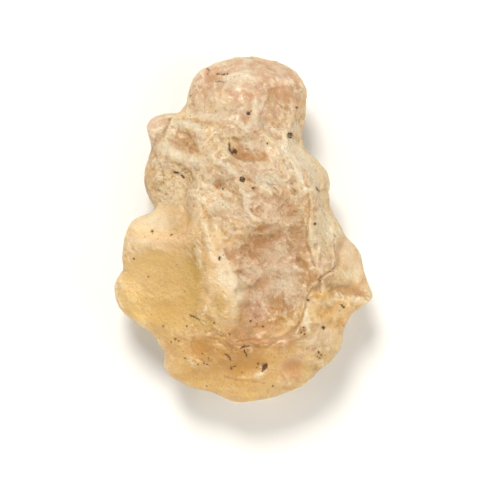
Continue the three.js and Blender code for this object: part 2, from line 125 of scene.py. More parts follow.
# Pits and bumps: a centre, a radius and a depth; a negative depth is a bump
pits = [
    ((5.15, 10.35), 0.42, 0.34),
    ((-0.1, 5.5), 0.42, 0.36),
    ((0.55, 12.75), 0.3, 0.24),
    ((-0.95, 8.6), 0.36, 0.36),
    ((-2.9, 4.7), 0.7, 0.2),
    ((-7.4, 6.25), 0.32, 0.22),
    ((-6.75, 5.9), 0.26, 0.2),
    ((2.4, -15.1), 0.4, 0.3),
    ((1.8, 0.0), 0.62, 0.2),
    ((5.6, 4.0), 0.6, 0.24),
    ((1.9, 2.1), 0.7, 0.26),
    ((-3.4, 0.2), 0.55, 0.22),
    ((-1.2, 0.4), 0.5, 0.2),
    ((8.1, 4.4), 0.28, 0.2),
    ((7.9, 0.6), 0.26, 0.16),
    ((-2.6, -3.2), 0.22, 0.2),
    ((8.8, -10.8), 0.3, 0.2),
    ((-1.6, -14.05), 0.4, 0.16),
    ((0.1, -13.2), 0.4, 0.18),
    ((-1.0, -15.0), 0.3, 0.14),
    ((5.3, -15.2), 1.2, 0.3),
    ((3.4, -8.2), 0.9, 0.12),
    ((3.4, -10.2), 2.2, -0.3),
    ((3.2, -12.8), 1.6, 0.15),
    ((1.5, -6.0), 0.8, 0.24),
    ((0.3, -4.9), 0.6, 0.18),
    ((3.3, 15.4), 1.0, 0.16),
    ((4.9, 15.1), 0.9, 0.18),
    ((3.4, 13.0), 0.9, 0.16),
    ((-4.4, 14.9), 1.0, 0.14),
    ((-8.9, 5.0), 0.9, 0.2),
    ((-9.6, 11.4), 0.8, 0.2),
    ((-7.6, -7.6), 1.8, -0.16),
    ((-10.6, -5.4), 1.6, -0.14),
    ((-5.4, -5.2), 0.9, 0.14),
    ((8.7, -2.9), 0.7, 0.22),
    ((7.9, -2.0), 0.5, 0.16),
    ((12.1, -7.7), 0.45, -0.2),
    ((-8.7, 5.4), 1.5, -0.35),
    ((-3.3, 4.6), 1.0, -0.25),
    ((0.9, 8.4), 1.3, -0.3),
    ((-2.8, 13.4), 1.9, -0.35),
    ((-4.9, 9.7), 1.2, -0.25),
    ((2.6, 4.8), 1.3, -0.46),
    ((-5.8, 3.4), 1.2, -0.25),
    ((9.2, -9.6), 1.6, -0.35),
    ((10.8, -5.2), 1.4, -0.3),
    ((0.4, -5.4), 1.2, -0.4),
    ((5.6, -6.8), 1.2, -0.25),
    ((-7.2, 6.4), 1.0, -0.2),
    ((1.5, -13.0), 1.2, 0.2),
    ((5.2, -12.2), 1.1, 0.15),
    ((-1.2, -11.6), 1.0, 0.15),
    ((-1.0, -1.9), 0.9, 0.15),
    ((6.4, -4.9), 0.9, 0.15),
    ((8.0, -6.9), 0.8, 0.2),
    ((-1.4, 10.3), 0.9, 0.15),
    ((0.2, 11.7), 0.9, 0.15),
    ((-0.8, 4.3), 0.9, 0.12),
    ((1.3, 3.1), 0.8, 0.12),
    ((-2.1, -8.4), 0.9, 0.12),
    ((3.8, -10.1), 0.9, 0.15),
    ((3.6, 11.5), 1.8, -0.2),
    ((9.9, -0.6), 1.9, -0.5),
    ((9.3, -12.2), 2.0, -0.55),
    ((12.4, -5.2), 1.3, -0.22),
    ((-10.4, -10.2), 1.8, -0.3),
    ((-2.0, -3.9), 1.0, -0.2),
    ((0.4, 9.2), 1.0, -0.32),
    ((1.4, 5.2), 1.0, -0.15),
    ((7.6, 4.3), 1.2, -0.3),
    ((-6.4, 9.6), 1.2, -0.25),
    ((-4.2, 12.4), 1.4, -0.2),
    ((5.0, 10.9), 1.4, -0.2),
    ((-1.8, 6.3), 1.0, -0.42),
    ((4.8, -7.2), 1.4, -0.25),
    ((1.4, -5.6), 1.3, -0.25),
    ((10.6, -6.9), 1.0, -0.2),
    ((10.4, -9.6), 1.4, -0.32),
    ((-3.2, 2.4), 1.2, -0.22),
    ((-5.4, 3.9), 0.9, -0.15),
    ((8.0, 3.4), 1.4, -0.35),
    ((6.9, 6.6), 1.3, -0.3),
    ((0.6, -12.2), 1.4, 0.2),
    ((3.6, -13.0), 1.3, 0.18),
    ((5.0, -17.1), 1.2, 0.2),
    ((0.0, -7.6), 1.1, -0.25),
    ((-1.0, -4.2), 0.9, -0.2),
    ((-1.0, -0.2), 0.7, 0.12),
    ((5.6, 14.8), 1.0, 0.14),
    ((0.4, 12.6), 1.0, 0.12),
    ((4.6, -2.2), 1.2, 0.16),
    ((10.3, -7.9), 0.8, 0.16),
    ((9.6, -4.3), 1.0, 0.16),
    ((-7.5, 0.5), 1.2, 0.15),
    ((2.0, -13.1), 1.2, 0.15),
    ((-5.4, 4.1), 0.9, -0.2),
    ((-5.7, 2.0), 0.9, -0.2),
    ((2.6, 5.0), 0.9, -0.2),
    ((7.6, 4.5), 0.9, -0.18),
    ((-6.8, 10.0), 1.1, -0.26),
    ((-8.8, 6.2), 1.1, -0.24),
    ((-9.9, -2.9), 1.3, -0.18),
    ((-11.0, -9.6), 1.6, -0.26),
]

# The outline moved sideways: a centre, a radius, and how far to the right and back
shifts = [
    ((-9.9, 11.6), 2.4, (-0.55, 0.15)),
    ((-5.4, 16.6), 3.0, (-0.25, 0.2)),
    ((-12.4, 0.8), 2.8, (-0.35, 0.2)),
    ((-13.3, -2.4), 2.6, (-0.25, 0.0)),
    ((-14.0, -6.2), 2.0, (-0.2, 0.05)),
    ((-10.6, -11.8), 1.8, (0.2, 0.2)),
    ((-8.2, -15.4), 2.2, (-0.5, -0.25)),
    ((-5.4, -17.3), 2.4, (-0.1, -0.35)),
    ((-1.4, -18.7), 3.0, (0.0, -0.3)),
    ((14.0, -7.5), 1.8, (0.6, -0.05)),
    ((6.8, 8.8), 2.8, (-0.4, -0.1)),
    ((9.5, 3.4), 2.8, (-0.25, 0.0)),
    ((6.8, 13.6), 2.2, (-0.15, 0.0)),
]

# Thin brown creases, partly painted shade along crevices and steps, and thin white veins, partly
# painted highlight along ridges: a path and a half width
creases = [
    ([(-8.0, 12.2), (-8.6, 10.9), (-9.6, 9.7), (-10.0, 9.0)], 0.08),
    ([(-10.0, 9.0), (-9.3, 7.6), (-8.8, 6.2), (-8.7, 5.0)], 0.05),
    ([(7.1, 3.9), (7.3, 2.6), (7.3, 1.6), (7.0, 0.4), (6.9, -1.2), (7.4, -2.8), (7.8, -4.0)], 0.11),
    ([(7.6, -6.4), (7.0, -7.4), (6.8, -8.4), (6.5, -9.6), (6.1, -10.4), (5.8, -11.0)], 0.12),
    ([(5.8, -11.2), (5.0, -12.0), (3.8, -12.7), (2.6, -13.0)], 0.06),
    ([(9.9, -1.0), (10.1, -2.6), (10.0, -4.2)], 0.06),
    ([(10.2, -4.0), (9.6, -4.6), (8.9, -5.0), (8.4, -5.5), (8.4, -6.3)], 0.1),
    ([(9.4, -6.8), (10.4, -6.3), (11.4, -6.3), (12.4, -6.7), (13.2, -7.3), (13.7, -7.9)], 0.1),
    ([(-3.0, -11.5), (-2.0, -11.7), (-1.7, -12.4), (-1.2, -13.0)], 0.12),
    ([(-3.6, -11.9), (-2.7, -12.1), (-2.2, -12.7), (-1.4, -13.4)], 0.08),
    ([(-4.2, -13.4), (-3.2, -13.0), (-2.4, -13.6)], 0.03),
    ([(-5.6, -14.6), (-4.8, -14.2), (-4.0, -14.6), (-3.4, -14.3)], 0.05),
    ([(-2.0, -16.2), (-0.6, -16.6), (1.0, -16.7), (2.4, -16.9)], 0.04),
    ([(2.8, 14.2), (2.9, 15.3), (4.4, 15.7), (6.2, 15.6)], 0.05),
    ([(-7.2, 5.9), (-6.6, 6.5), (-5.8, 6.3), (-5.5, 5.5), (-5.9, 4.9)], 0.04),
    ([(-1.5, 9.5), (-1.6, 8.9), (-1.3, 8.2), (-0.7, 7.8), (0.2, 7.5), (1.4, 7.4)], 0.06),
    ([(0.2, 6.0), (0.9, 5.3), (1.6, 4.9), (2.6, 4.7), (3.6, 4.4)], 0.05),
    ([(1.0, 2.3), (0.9, 1.9), (1.2, 1.6), (1.8, 1.5)], 0.08),
    ([(4.2, -15.9), (4.5, -16.4), (4.8, -16.9)], 0.05),
    ([(4.4, -7.0), (4.5, -8.2), (4.2, -9.3)], 0.1),
    ([(5.0, -0.1), (6.3, -0.4)], 0.05),
    ([(-1.1, -4.7), (-0.4, -4.6), (0.1, -4.9)], 0.08),
    ([(-0.7, -5.1), (-0.2, -5.6), (0.1, -5.9)], 0.06),
    ([(-1.9, -2.2), (-1.8, -2.8), (-1.6, -3.3)], 0.12),
    ([(6.2, -11.3), (6.3, -10.8)], 0.08),
    ([(6.75, -11.4), (6.8, -10.9)], 0.07),
    ([(-6.9, 10.7), (-6.1, 10.5), (-5.5, 9.9), (-5.4, 9.4)], 0.06),
    ([(-8.2, 10.0), (-7.0, 9.2), (-5.6, 8.4)], 0.07),
    ([(-7.4, 10.2), (-6.2, 9.4), (-5.0, 8.6)], 0.08),
    ([(-6.6, 10.0), (-5.6, 9.3), (-4.9, 8.9)], 0.05),
    ([(-1.4, 8.4), (-0.9, 7.9), (0.0, 7.65), (1.0, 7.55), (2.0, 7.6)], 0.1),
    ([(4.4, 8.5), (5.2, 7.2), (6.2, 5.4)], 0.05),
    ([(-4.2, -11.2), (-3.2, -11.1), (-2.3, -11.4), (-1.7, -12.0), (-1.4, -12.7)], 0.05),
    ([(-5.4, -11.9), (-5.8, -12.8), (-5.3, -13.7)], 0.05),
    ([(-0.9, -12.6), (-0.3, -12.3), (0.5, -12.6), (1.2, -12.9)], 0.07),
    ([(-8.1, 7.4), (-7.6, 7.2)], 0.05),
    ([(-7.9, 11.3), (-7.3, 11.2)], 0.05),
]
veins = [
    ([(-2.9, 7.5), (-2.2, 7.1), (-1.5, 6.6), (-0.9, 6.1)], 0.2),
    ([(-8.8, 8.9), (-7.6, 8.0), (-6.4, 7.4), (-5.2, 7.1)], 0.06),
    ([(-8.4, 8.2), (-7.2, 7.5), (-6.0, 7.0)], 0.05),
    ([(-7.8, 7.2), (-6.6, 6.8)], 0.04),
    ([(1.6, 5.6), (2.4, 6.2), (3.4, 6.0), (3.9, 5.4)], 0.06),
    ([(2.4, 6.2), (2.3, 5.3), (3.0, 4.9)], 0.05),
    ([(4.4, 10.4), (5.0, 9.3), (5.2, 8.3), (5.6, 7.2), (6.0, 6.0), (6.4, 5.0), (6.9, 4.2)], 0.12),
    ([(4.2, 9.0), (4.6, 8.2), (5.0, 7.6)], 0.08),
    ([(-7.6, 11.4), (-6.4, 11.6), (-5.4, 11.3), (-4.8, 10.8)], 0.12),
    ([(0.0, 4.6), (0.1, 3.6), (0.2, 2.8), (0.8, 1.8), (1.3, 1.2)], 0.08),
    ([(1.3, 14.4), (1.2, 13.2), (1.6, 12.2)], 0.06),
    ([(2.6, 14.9), (2.2, 14.0), (1.9, 13.0)], 0.06),
    ([(7.2, -8.2), (7.0, -9.2), (7.0, -10.2), (7.3, -11.2)], 0.14),
    ([(-1.7, -3.6), (-1.5, -4.6), (-1.3, -5.6), (-0.7, -6.4), (-0.5, -7.2)], 0.12),
    ([(2.8, -10.0), (3.6, -9.8), (4.2, -9.4), (4.9, -9.9), (5.5, -10.4)], 0.05),
    ([(2.9, -5.2), (3.9, -5.6), (5.0, -6.2), (6.2, -6.9)], 0.06),
    ([(5.2, -5.2), (6.0, -5.8), (6.8, -6.3)], 0.06),
    ([(-0.6, -7.1), (0.2, -7.0)], 0.06),
    ([(-0.6, -7.5), (0.1, -7.8)], 0.05),
    ([(-0.5, -6.7), (0.1, -6.3)], 0.05),
    ([(-4.2, -1.0), (-3.6, -2.4), (-3.5, -3.8)], 0.1),
    ([(3.2, -6.4), (4.4, -6.6), (5.8, -7.2)], 0.08),
    ([(3.6, -5.4), (5.2, -6.0), (6.4, -6.6)], 0.1),
    ([(2.8, -4.6), (4.2, -5.2)], 0.06),
    ([(4.9, -16.2), (4.6, -16.9)], 0.06),
    ([(3.4, -16.1), (3.9, -16.9), (4.6, -16.9)], 0.05),
    ([(1.4, -16.3), (2.0, -15.9), (2.5, -15.7)], 0.04),
    ([(-3.1, 16.1), (-2.4, 16.4), (-1.6, 16.7)], 0.07),
    ([(-2.8, 16.8), (-1.8, 16.9), (-1.2, 17.0)], 0.07),
    ([(-7.8, 4.5), (-7.2, 4.9), (-6.7, 4.4)], 0.05),
    ([(8.2, -8.2), (9.2, -8.6)], 0.06),
    ([(2.0, -12.8), (3.4, -12.6), (4.6, -12.2)], 0.06),
    ([(-3.0, 2.9), (-2.0, 2.6), (-1.0, 2.7)], 0.08),
    ([(9.4, 0.6), (9.7, -0.6), (9.8, -1.6)], 0.08),
    ([(8.1, 0.2), (8.2, -1.0), (8.6, -1.8)], 0.06),
    ([(8.3, 2.4), (8.6, 1.2), (9.0, -0.2)], 0.08),
    ([(8.9, 1.4), (9.3, 0.0)], 0.06),
    ([(8.2, 1.0), (8.7, -0.4), (9.2, -1.2)], 0.05),
]

# Soil in the surface, by kind: the place and the half width or radius
soil = {
    "spots": [
        ((5.15, 10.35), 0.08), ((-0.1, 5.5), 0.08), ((0.55, 12.75), 0.2), ((5.9, 13.4), 0.1),
        ((-0.95, 8.6), 0.26), ((-2.2, 4.5), 0.1), ((1.1, 4.6), 0.11), ((2.7, 9.4), 0.1),
        ((7.9, 0.6), 0.13), ((-2.6, -3.2), 0.15), ((-10.0, -0.2), 0.12), ((-7.9, -0.6), 0.08),
        ((-12.0, -3.2), 0.09), ((-10.4, -5.2), 0.1), ((-3.2, -10.3), 0.1), ((-8.8, -10.7), 0.1),
        ((-6.2, -10.6), 0.08), ((-1.5, -11.5), 0.12), ((-7.5, -12.1), 0.09), ((-7.9, -12.4), 0.07),
        ((-7.1, -12.3), 0.07), ((-6.4, -14.2), 0.12), ((-3.8, -14.2), 0.09), ((-4.3, -14.7), 0.07),
        ((-4.0, -14.9), 0.08), ((-5.0, -14.9), 0.07), ((1.65, -14.8), 0.12), ((8.8, -10.8), 0.17),
        ((7.15, -7.75), 0.12), ((8.3, -13.5), 0.1), ((8.6, -13.8), 0.11), ((8.1, -14.0), 0.09),
        ((8.45, -14.15), 0.08), ((3.3, -17.2), 0.1), ((0.8, -10.1), 0.09), ((1.5, -10.4), 0.11),
        ((2.2, -10.7), 0.12), ((-5.8, 14.7), 0.08), ((-0.1, -15.7), 0.09), ((-1.3, -15.3), 0.1),
        ((6.4, -11.3), 0.11), ((6.75, -11.5), 0.08), ((-4.5, -13.6), 0.08), ((0.5, -13.3), 0.07),
        ((1.5, -15.2), 0.07), ((2.1, -15.5), 0.1), ((6.7, -10.8), 0.08), ((-0.6, -18.0), 0.07),
        ((-4.0, -17.2), 0.06), ((11.0, -10.6), 0.07),
    ],
    "rings": [((5.15, 10.35), 0.23), ((-0.1, 5.5), 0.23)],
    "cracks": [
        ([(0.6, 12.8), (0.85, 13.05)], 0.06),
        ([(-1.5, 9.3), (-1.45, 8.8), (-1.2, 8.35)], 0.1),
        ([(-7.6, 6.3), (-7.2, 6.2)], 0.1),
        ([(-6.8, 5.9), (-6.6, 5.75)], 0.11),
        ([(8.0, 4.6), (8.35, 4.15)], 0.09),
        ([(-5.9, -9.4), (-5.3, -9.7), (-4.8, -9.9)], 0.08),
        ([(-2.0, -13.7), (-1.6, -14.0), (-1.4, -14.3)], 0.1),
        ([(-1.3, -15.2), (-0.8, -15.1)], 0.1),
        ([(-1.1, -15.1), (-1.2, -15.5)], 0.05),
        ([(-0.3, -13.1), (0.1, -12.9), (0.7, -12.8)], 0.09),
        ([(0.0, -13.0), (0.15, -13.4), (0.4, -14.0)], 0.07),
        ([(2.3, -15.25), (2.5, -14.95)], 0.24),
        ([(10.8, -8.3), (11.15, -8.6)], 0.09),
        ([(10.0, -4.3), (9.6, -4.6), (8.9, -5.0), (8.4, -5.5), (8.4, -6.3)], 0.03),
        ([(-4.0, 17.7), (-3.7, 17.5), (-3.9, 17.1)], 0.05),
        ([(-3.0, 17.1), (-2.4, 17.05), (-1.7, 17.1)], 0.05),
        ([(-3.0, 16.2), (-2.6, 16.3), (-2.2, 16.2)], 0.05),
    ],
}

# Rust and brown stains: centre, half sizes, turn in degrees, strength
stains = [
    ((-0.7, 8.5), (0.7, 0.5), -30, 1.0),
    ((0.6, 8.0), (1.5, 0.45), -6, 0.8),
    ((2.3, 7.95), (0.6, 0.45), 0, 1.0),
    ((-2.9, 4.75), (0.6, 0.42), -10, 1.0),
    ((1.1, 4.4), (0.5, 0.4), 0, 0.7),
    ((1.8, 0.0), (0.5, 0.35), 0, 0.5),
    ((0.1, 12.3), (0.4, 0.3), 0, 0.8),
    ((7.9, 2.2), (0.35, 0.35), 0, 0.7),
    ((-1.3, -1.0), (0.6, 0.25), 20, 0.7),
    ((-2.6, -1.9), (0.4, 0.4), 0, 0.6),
    ((1.2, -2.2), (1.1, 1.0), 0, 0.6),
    ((3.2, -0.9), (1.2, 0.4), 18, 0.4),
    ((-0.2, -11.5), (1.0, 0.9), -40, 0.7),
    ((1.7, -12.3), (1.5, 0.5), -4, 0.8),
    ((4.9, -11.8), (1.2, 0.4), 35, 0.5),
    ((9.2, -5.2), (1.0, 0.5), 0, 0.5),
    ((0.2, -10.2), (0.6, 1.2), 10, 0.6),
    ((-1.6, -2.6), (0.35, 0.6), 10, 0.7),
    ((6.0, -1.0), (0.7, 1.8), 0, 0.2),
    ((-6.4, 9.2), (1.5, 0.9), -34, 0.7),
    ((-0.6, -0.8), (1.6, 0.5), 14, 0.5),
    ((2.1, 7.8), (0.8, 0.35), 0, 0.9),
    ((4.0, -9.6), (0.9, 0.5), 20, 0.4),
    ((-9.9, 4.6), (0.8, 1.0), 0, 0.4),
    ((6.0, -3.0), (0.7, 0.5), -30, 0.2),
    ((7.1, -4.8), (0.5, 0.9), 10, 0.8),
    ((2.9, -10.5), (0.8, 0.4), 10, 0.5),
    ((4.9, -12.6), (1.4, 0.4), 30, 0.6),
    ((6.6, -7.6), (0.3, 0.8), -20, 0.5),
    ((7.0, 2.2), (0.4, 1.2), 0, 0.5),
    ((5.4, 2.0), (0.7, 0.5), -30, 0.6),
    ((2.2, 3.6), (1.2, 0.4), 0, 0.5),
    ((4.4, 4.0), (0.9, 0.35), -10, 0.4),
    ((0.6, 5.4), (0.5, 0.3), -30, 0.5),
    ((-1.6, 11.1), (0.7, 0.35), 0, 0.5),
    ((-2.6, 9.6), (0.5, 0.4), 0, 0.3),
    ((-7.4, 1.6), (0.4, 1.0), 0, 0.35),
    ((3.4, 10.2), (0.5, 0.5), 0, 0.3),
    ((0.4, 14.9), (0.8, 0.4), 0, 0.3),
    ((5.9, -6.3), (0.5, 0.9), 30, 0.6),
    ((8.2, -6.5), (1.0, 0.25), 12, 0.7),
    ((11.9, -6.7), (1.4, 0.22), -16, 0.9),
    ((9.8, -5.1), (0.5, 0.3), 0, 0.7),
    ((11.0, -10.4), (0.5, 0.25), 20, 0.7),
    ((9.0, -10.3), (0.8, 0.4), 0, 0.5),
    ((4.0, -8.3), (0.7, 0.9), 10, 0.6),
    ((2.0, -6.3), (0.8, 0.6), 0, 0.5),
    ((-3.2, 16.6), (0.9, 0.4), 20, 0.6),
    ((4.5, 15.1), (1.5, 0.7), 0, 0.6),
    ((3.2, 12.8), (0.9, 0.8), 0, 0.4),
    ((-6.5, 9.9), (1.3, 0.4), -34, 0.5),
    ((-6.8, 9.0), (1.2, 0.3), -30, 0.35),
    ((-4.0, 11.8), (1.6, 0.35), -6, 0.4),
    ((-1.4, 4.2), (0.6, 0.9), 30, 0.5),
    ((1.5, 2.0), (0.6, 0.4), -20, 0.7),
    ((5.0, 2.6), (0.8, 0.5), -20, 0.5),
    ((-6.2, 2.2), (0.4, 1.4), 0, 0.3),
    ((-4.8, -13.1), (1.3, 1.0), -20, 0.3),
    ((5.3, -15.3), (1.2, 1.0), 20, 0.6),
    ((6.4, 3.3), (0.4, 0.8), 0, 0.4),
    ((8.0, -5.6), (0.9, 0.8), 0, 0.5),
    ((3.4, 3.6), (1.4, 0.4), -8, 0.4),
    ((-0.6, -4.5), (0.7, 0.25), 10, 0.6),
]


seedStep = 17.3  # how far apart the seeds lie in the noise, in lumps


def noiseOf(points, size, seed):
    # Perlin noise, about -1 to 1, with lumps of about the size
    shifted = points / size + seed * seedStep
    return np.array([noise.noise(point) for point in shifted.tolist()])


def seenPlan(points):
    # Where the camera sees the points, in mm on the level half way up the stone
    over = np.array(shot["over"])
    height = shot["height"] / mm
    nearer = (height - shot["halfWay"]) / (height - points[:, 2])
    return over + (points[:, :2] - over) * nearer[:, None]


def bentPlan(points, bend):
    # The same, moved a little so that drawn edges wander
    right = noiseOf(points, bend["size"], bend["seed"])
    back = noiseOf(points, bend["size"], bend["seed"] + 1)
    return seenPlan(points) + np.column_stack([right, back]) * bend["reach"]


def alongPath(points, path):
    # Distance from the path, and how far along it the nearest place is, from 0 to 1
    path = np.array(path)
    edges = np.diff(path, axis=0)
    lengths = np.linalg.norm(edges, axis=1)
    starts = np.concatenate([[0], np.cumsum(lengths)])
    distance = np.full(len(points), np.inf)
    share = np.zeros(len(points))
    for start, edge, length, before in zip(path[:-1], edges, lengths, starts):
        along = np.clip((points - start) @ edge / length ** 2, 0, 1)
        gap = np.linalg.norm(points - start - along[:, None] * edge, axis=1)
        closer = gap < distance
        distance[closer] = gap[closer]
        share[closer] = (before + along[closer] * length) / starts[-1]
    return distance, share


def bell(share):
    # 1 in the middle, and 0 from a share of 1 on
    return np.where(share < 1, (1 - np.minimum(share, 1) ** 2) ** 2, 0)


def smooth(value, low, high):
    t = np.clip((value - low) / (high - low), 0, 1)
    return t * t * (3 - 2 * t)


def ellipse(plan, centre, half, turn):
    # 0 in the middle, 1 on the rim
    turn = math.radians(turn)
    offset = plan - np.array(centre)
    u = (offset[:, 0] * math.cos(turn) + offset[:, 1] * math.sin(turn)) / half[0]
    v = (offset[:, 1] * math.cos(turn) - offset[:, 0] * math.sin(turn)) / half[1]
    return np.hypot(u, v)


nodeGap = (190, 180)  # between nodes in the editor
nodeRows = 6


class Tree:
    # A node tree with short calls for adding and joining nodes
    def __init__(self, nodeTree):
        self.tree = nodeTree

    def add(self, kind, inputs=None, **settings):
        node = self.tree.nodes.new(kind)
        count = len(self.tree.nodes)
        node.location = (count * nodeGap[0], count % nodeRows * -nodeGap[1])
        for name, value in settings.items():
            setattr(node, name, value)
        for name, value in (inputs or {}).items():
            if isinstance(value, bpy.types.NodeSocket):
                self.tree.links.new(value, node.inputs[name])
            else:
                node.inputs[name].default_value = value
        return node

    def maths(self, operation, *values):
        node = self.add("ShaderNodeMath", dict(enumerate(values)), operation=operation)
        return node.outputs[0]

    def plus(self, a, b):
        return self.maths("ADD", a, b)

    def minus(self, a, b):
        return self.maths("SUBTRACT", a, b)

    def times(self, a, b):
        return self.maths("MULTIPLY", a, b)

    def larger(self, a, b):
        return self.maths("MAXIMUM", a, b)

    def vectorMaths(self, operation, inputs):
        return self.add("ShaderNodeVectorMath", inputs, operation=operation).outputs[0]

    def bent(self, place, scale, reach):
        # The place moved by up to half the reach, so that cells get uneven sides
        bend = self.add("ShaderNodeTexNoise", {"Vector": place, "Scale": scale}).outputs["Color"]
        bend = self.vectorMaths("SUBTRACT", {0: bend, 1: (0.5, 0.5, 0.5)})
        bend = self.vectorMaths("SCALE", {0: bend, "Scale": reach})
        return self.vectorMaths("ADD", {0: place, 1: bend})

    def spread(self, value, low, high):
        # From 0 at the low value to 1 at the high one
        limits = {"Value": value, "From Min": low, "From Max": high}
        return self.add("ShaderNodeMapRange", limits, interpolation_type="SMOOTHSTEP").outputs[0]

    def mix(self, share, base, colour):
        inputs = {0: share, 6: base, 7: (*colour, 1)}
        return self.add("ShaderNodeMix", inputs, data_type="RGBA").outputs[2]


# Broad form to worn skin: a Geometry Nodes tree that subdivides the CAD form and wears it
skinWear = {
    "Level": 2,
    "Seed": 4,
    "Swell Size": 3.2 * mm,
    "Swell Depth": 0.20 * mm,
    "Ripple Size": 1.5 * mm,
    "Ripple Depth": 0.42 * mm,
    "Flow Turn": math.radians(-35),
    "Flow Stretch": 1.5,
    "Grain Size": 0.62 * mm,
    "Grain Depth": 0.2 * mm,
    "Dimple Size": 1.15 * mm,
    "Dimple Depth": 0.34 * mm,
    "Base Clearance": 0.5 * mm,
}

# Noise of each kind of wear; W is added to the seed
wearNoise = {
    "Swell": {"W": 0, "Detail": 1.0},
    "Ripple": {"W": 3, "Detail": 3.0, "Roughness": 0.62, "Distortion": 0.3},
    "Grain": {"W": 7, "Detail": 1.0, "Distortion": 0.4},
}
rippleMiddle = 0.14  # folded noise below this stands up as a ridge, and the rest sinks
dimpleMiddle = 0.45  # nearer to the middle of a cell than this share, a dimple sinks


def makeSkinTree(material):
    group = bpy.data.node_groups.new("worn skin", "GeometryNodeTree")
    group.interface.new_socket("Geometry", in_out="INPUT", socket_type="NodeSocketGeometry")
    for name, value in skinWear.items():
        kind = "NodeSocketInt" if isinstance(value, int) else "NodeSocketFloat"
        group.interface.new_socket(name, in_out="INPUT", socket_type=kind)
    group.interface.new_socket("Geometry", in_out="OUTPUT", socket_type="NodeSocketGeometry")
    t = Tree(group)
    given = t.add("NodeGroupInput").outputs
    finer = t.add("GeometryNodeSubdivisionSurface", {
        "Mesh": given["Geometry"], "Level": given["Level"],
    })
    place = t.add("GeometryNodeInputPosition").outputs[0]
    normal = t.add("GeometryNodeInputNormal").outputs[0]
    rough = t.add("GeometryNodeInputNamedAttribute", {"Name": "rough"}, data_type="FLOAT").outputs[0]

    def wear(kind, vector):
        # Noise about 0, with lumps of the size that is given for this kind of wear
        inputs = {"Vector": vector, **wearNoise[kind]}
        inputs["W"] = t.plus(given["Seed"], inputs["W"])
        inputs["Scale"] = t.maths("DIVIDE", 1, given[kind + " Size"])
        return t.minus(t.add("ShaderNodeTexNoise", inputs, noise_dimensions="4D").outputs[0], 0.5)

    swellPush = t.times(wear("Swell", place), given["Swell Depth"])

    level = t.add("ShaderNodeVectorRotate", {
        "Vector": place, "Angle": t.times(given["Flow Turn"], -1),
    }, rotation_type="Z_AXIS").outputs[0]
    squeeze = t.add("ShaderNodeCombineXYZ", {
        "X": t.maths("DIVIDE", 1, given["Flow Stretch"]), "Y": 1.0, "Z": 1.0,
    }).outputs[0]
    drawn = t.vectorMaths("MULTIPLY", {0: level, 1: squeeze})
    folded = t.times(t.maths("ABSOLUTE", wear("Ripple", drawn)), 2)
    ripplePush = t.times(t.minus(rippleMiddle, folded), given["Ripple Depth"])

    grainPush = t.times(wear("Grain", place), given["Grain Depth"])

    dimpleScale = t.maths("DIVIDE", 1, given["Dimple Size"])
    cell = t.add("ShaderNodeTexVoronoi", {
        "Vector": t.bent(place, dimpleScale, given["Dimple Size"]), "W": given["Seed"],
        "Scale": dimpleScale,
    }, voronoi_dimensions="4D", feature="F1").outputs["Distance"]
    dimplePush = t.times(t.minus(cell, dimpleMiddle), given["Dimple Depth"])

    fine = t.times(t.plus(grainPush, t.plus(ripplePush, dimplePush)), rough)
    height = t.add("ShaderNodeSeparateXYZ", {0: place}).outputs["Z"]
    clear = t.spread(height, 0.0, given["Base Clearance"])  # the flats that it rests on stay flat
    push = t.times(t.plus(swellPush, fine), clear)
    offset = t.vectorMaths("SCALE", {0: normal, "Scale": push})
    worn = t.add("GeometryNodeSetPosition", {"Geometry": finer.outputs[0], "Offset": offset})
    shaded = t.add("GeometryNodeSetShadeSmooth", {"Geometry": worn.outputs[0]})
    real = t.add("GeometryNodeRealizeInstances", {"Geometry": shaded.outputs[0]})
    coated = t.add("GeometryNodeSetMaterial", {"Geometry": real.outputs[0], "Material": material})
    t.add("NodeGroupOutput", {"Geometry": coated.outputs[0]})
    return group


def setInputs(modifier, values):
    for item in modifier.node_group.interface.items_tree:
        if item.item_type == "SOCKET" and item.in_out == "INPUT" and item.name in values:
            modifier[item.identifier] = values[item.name]


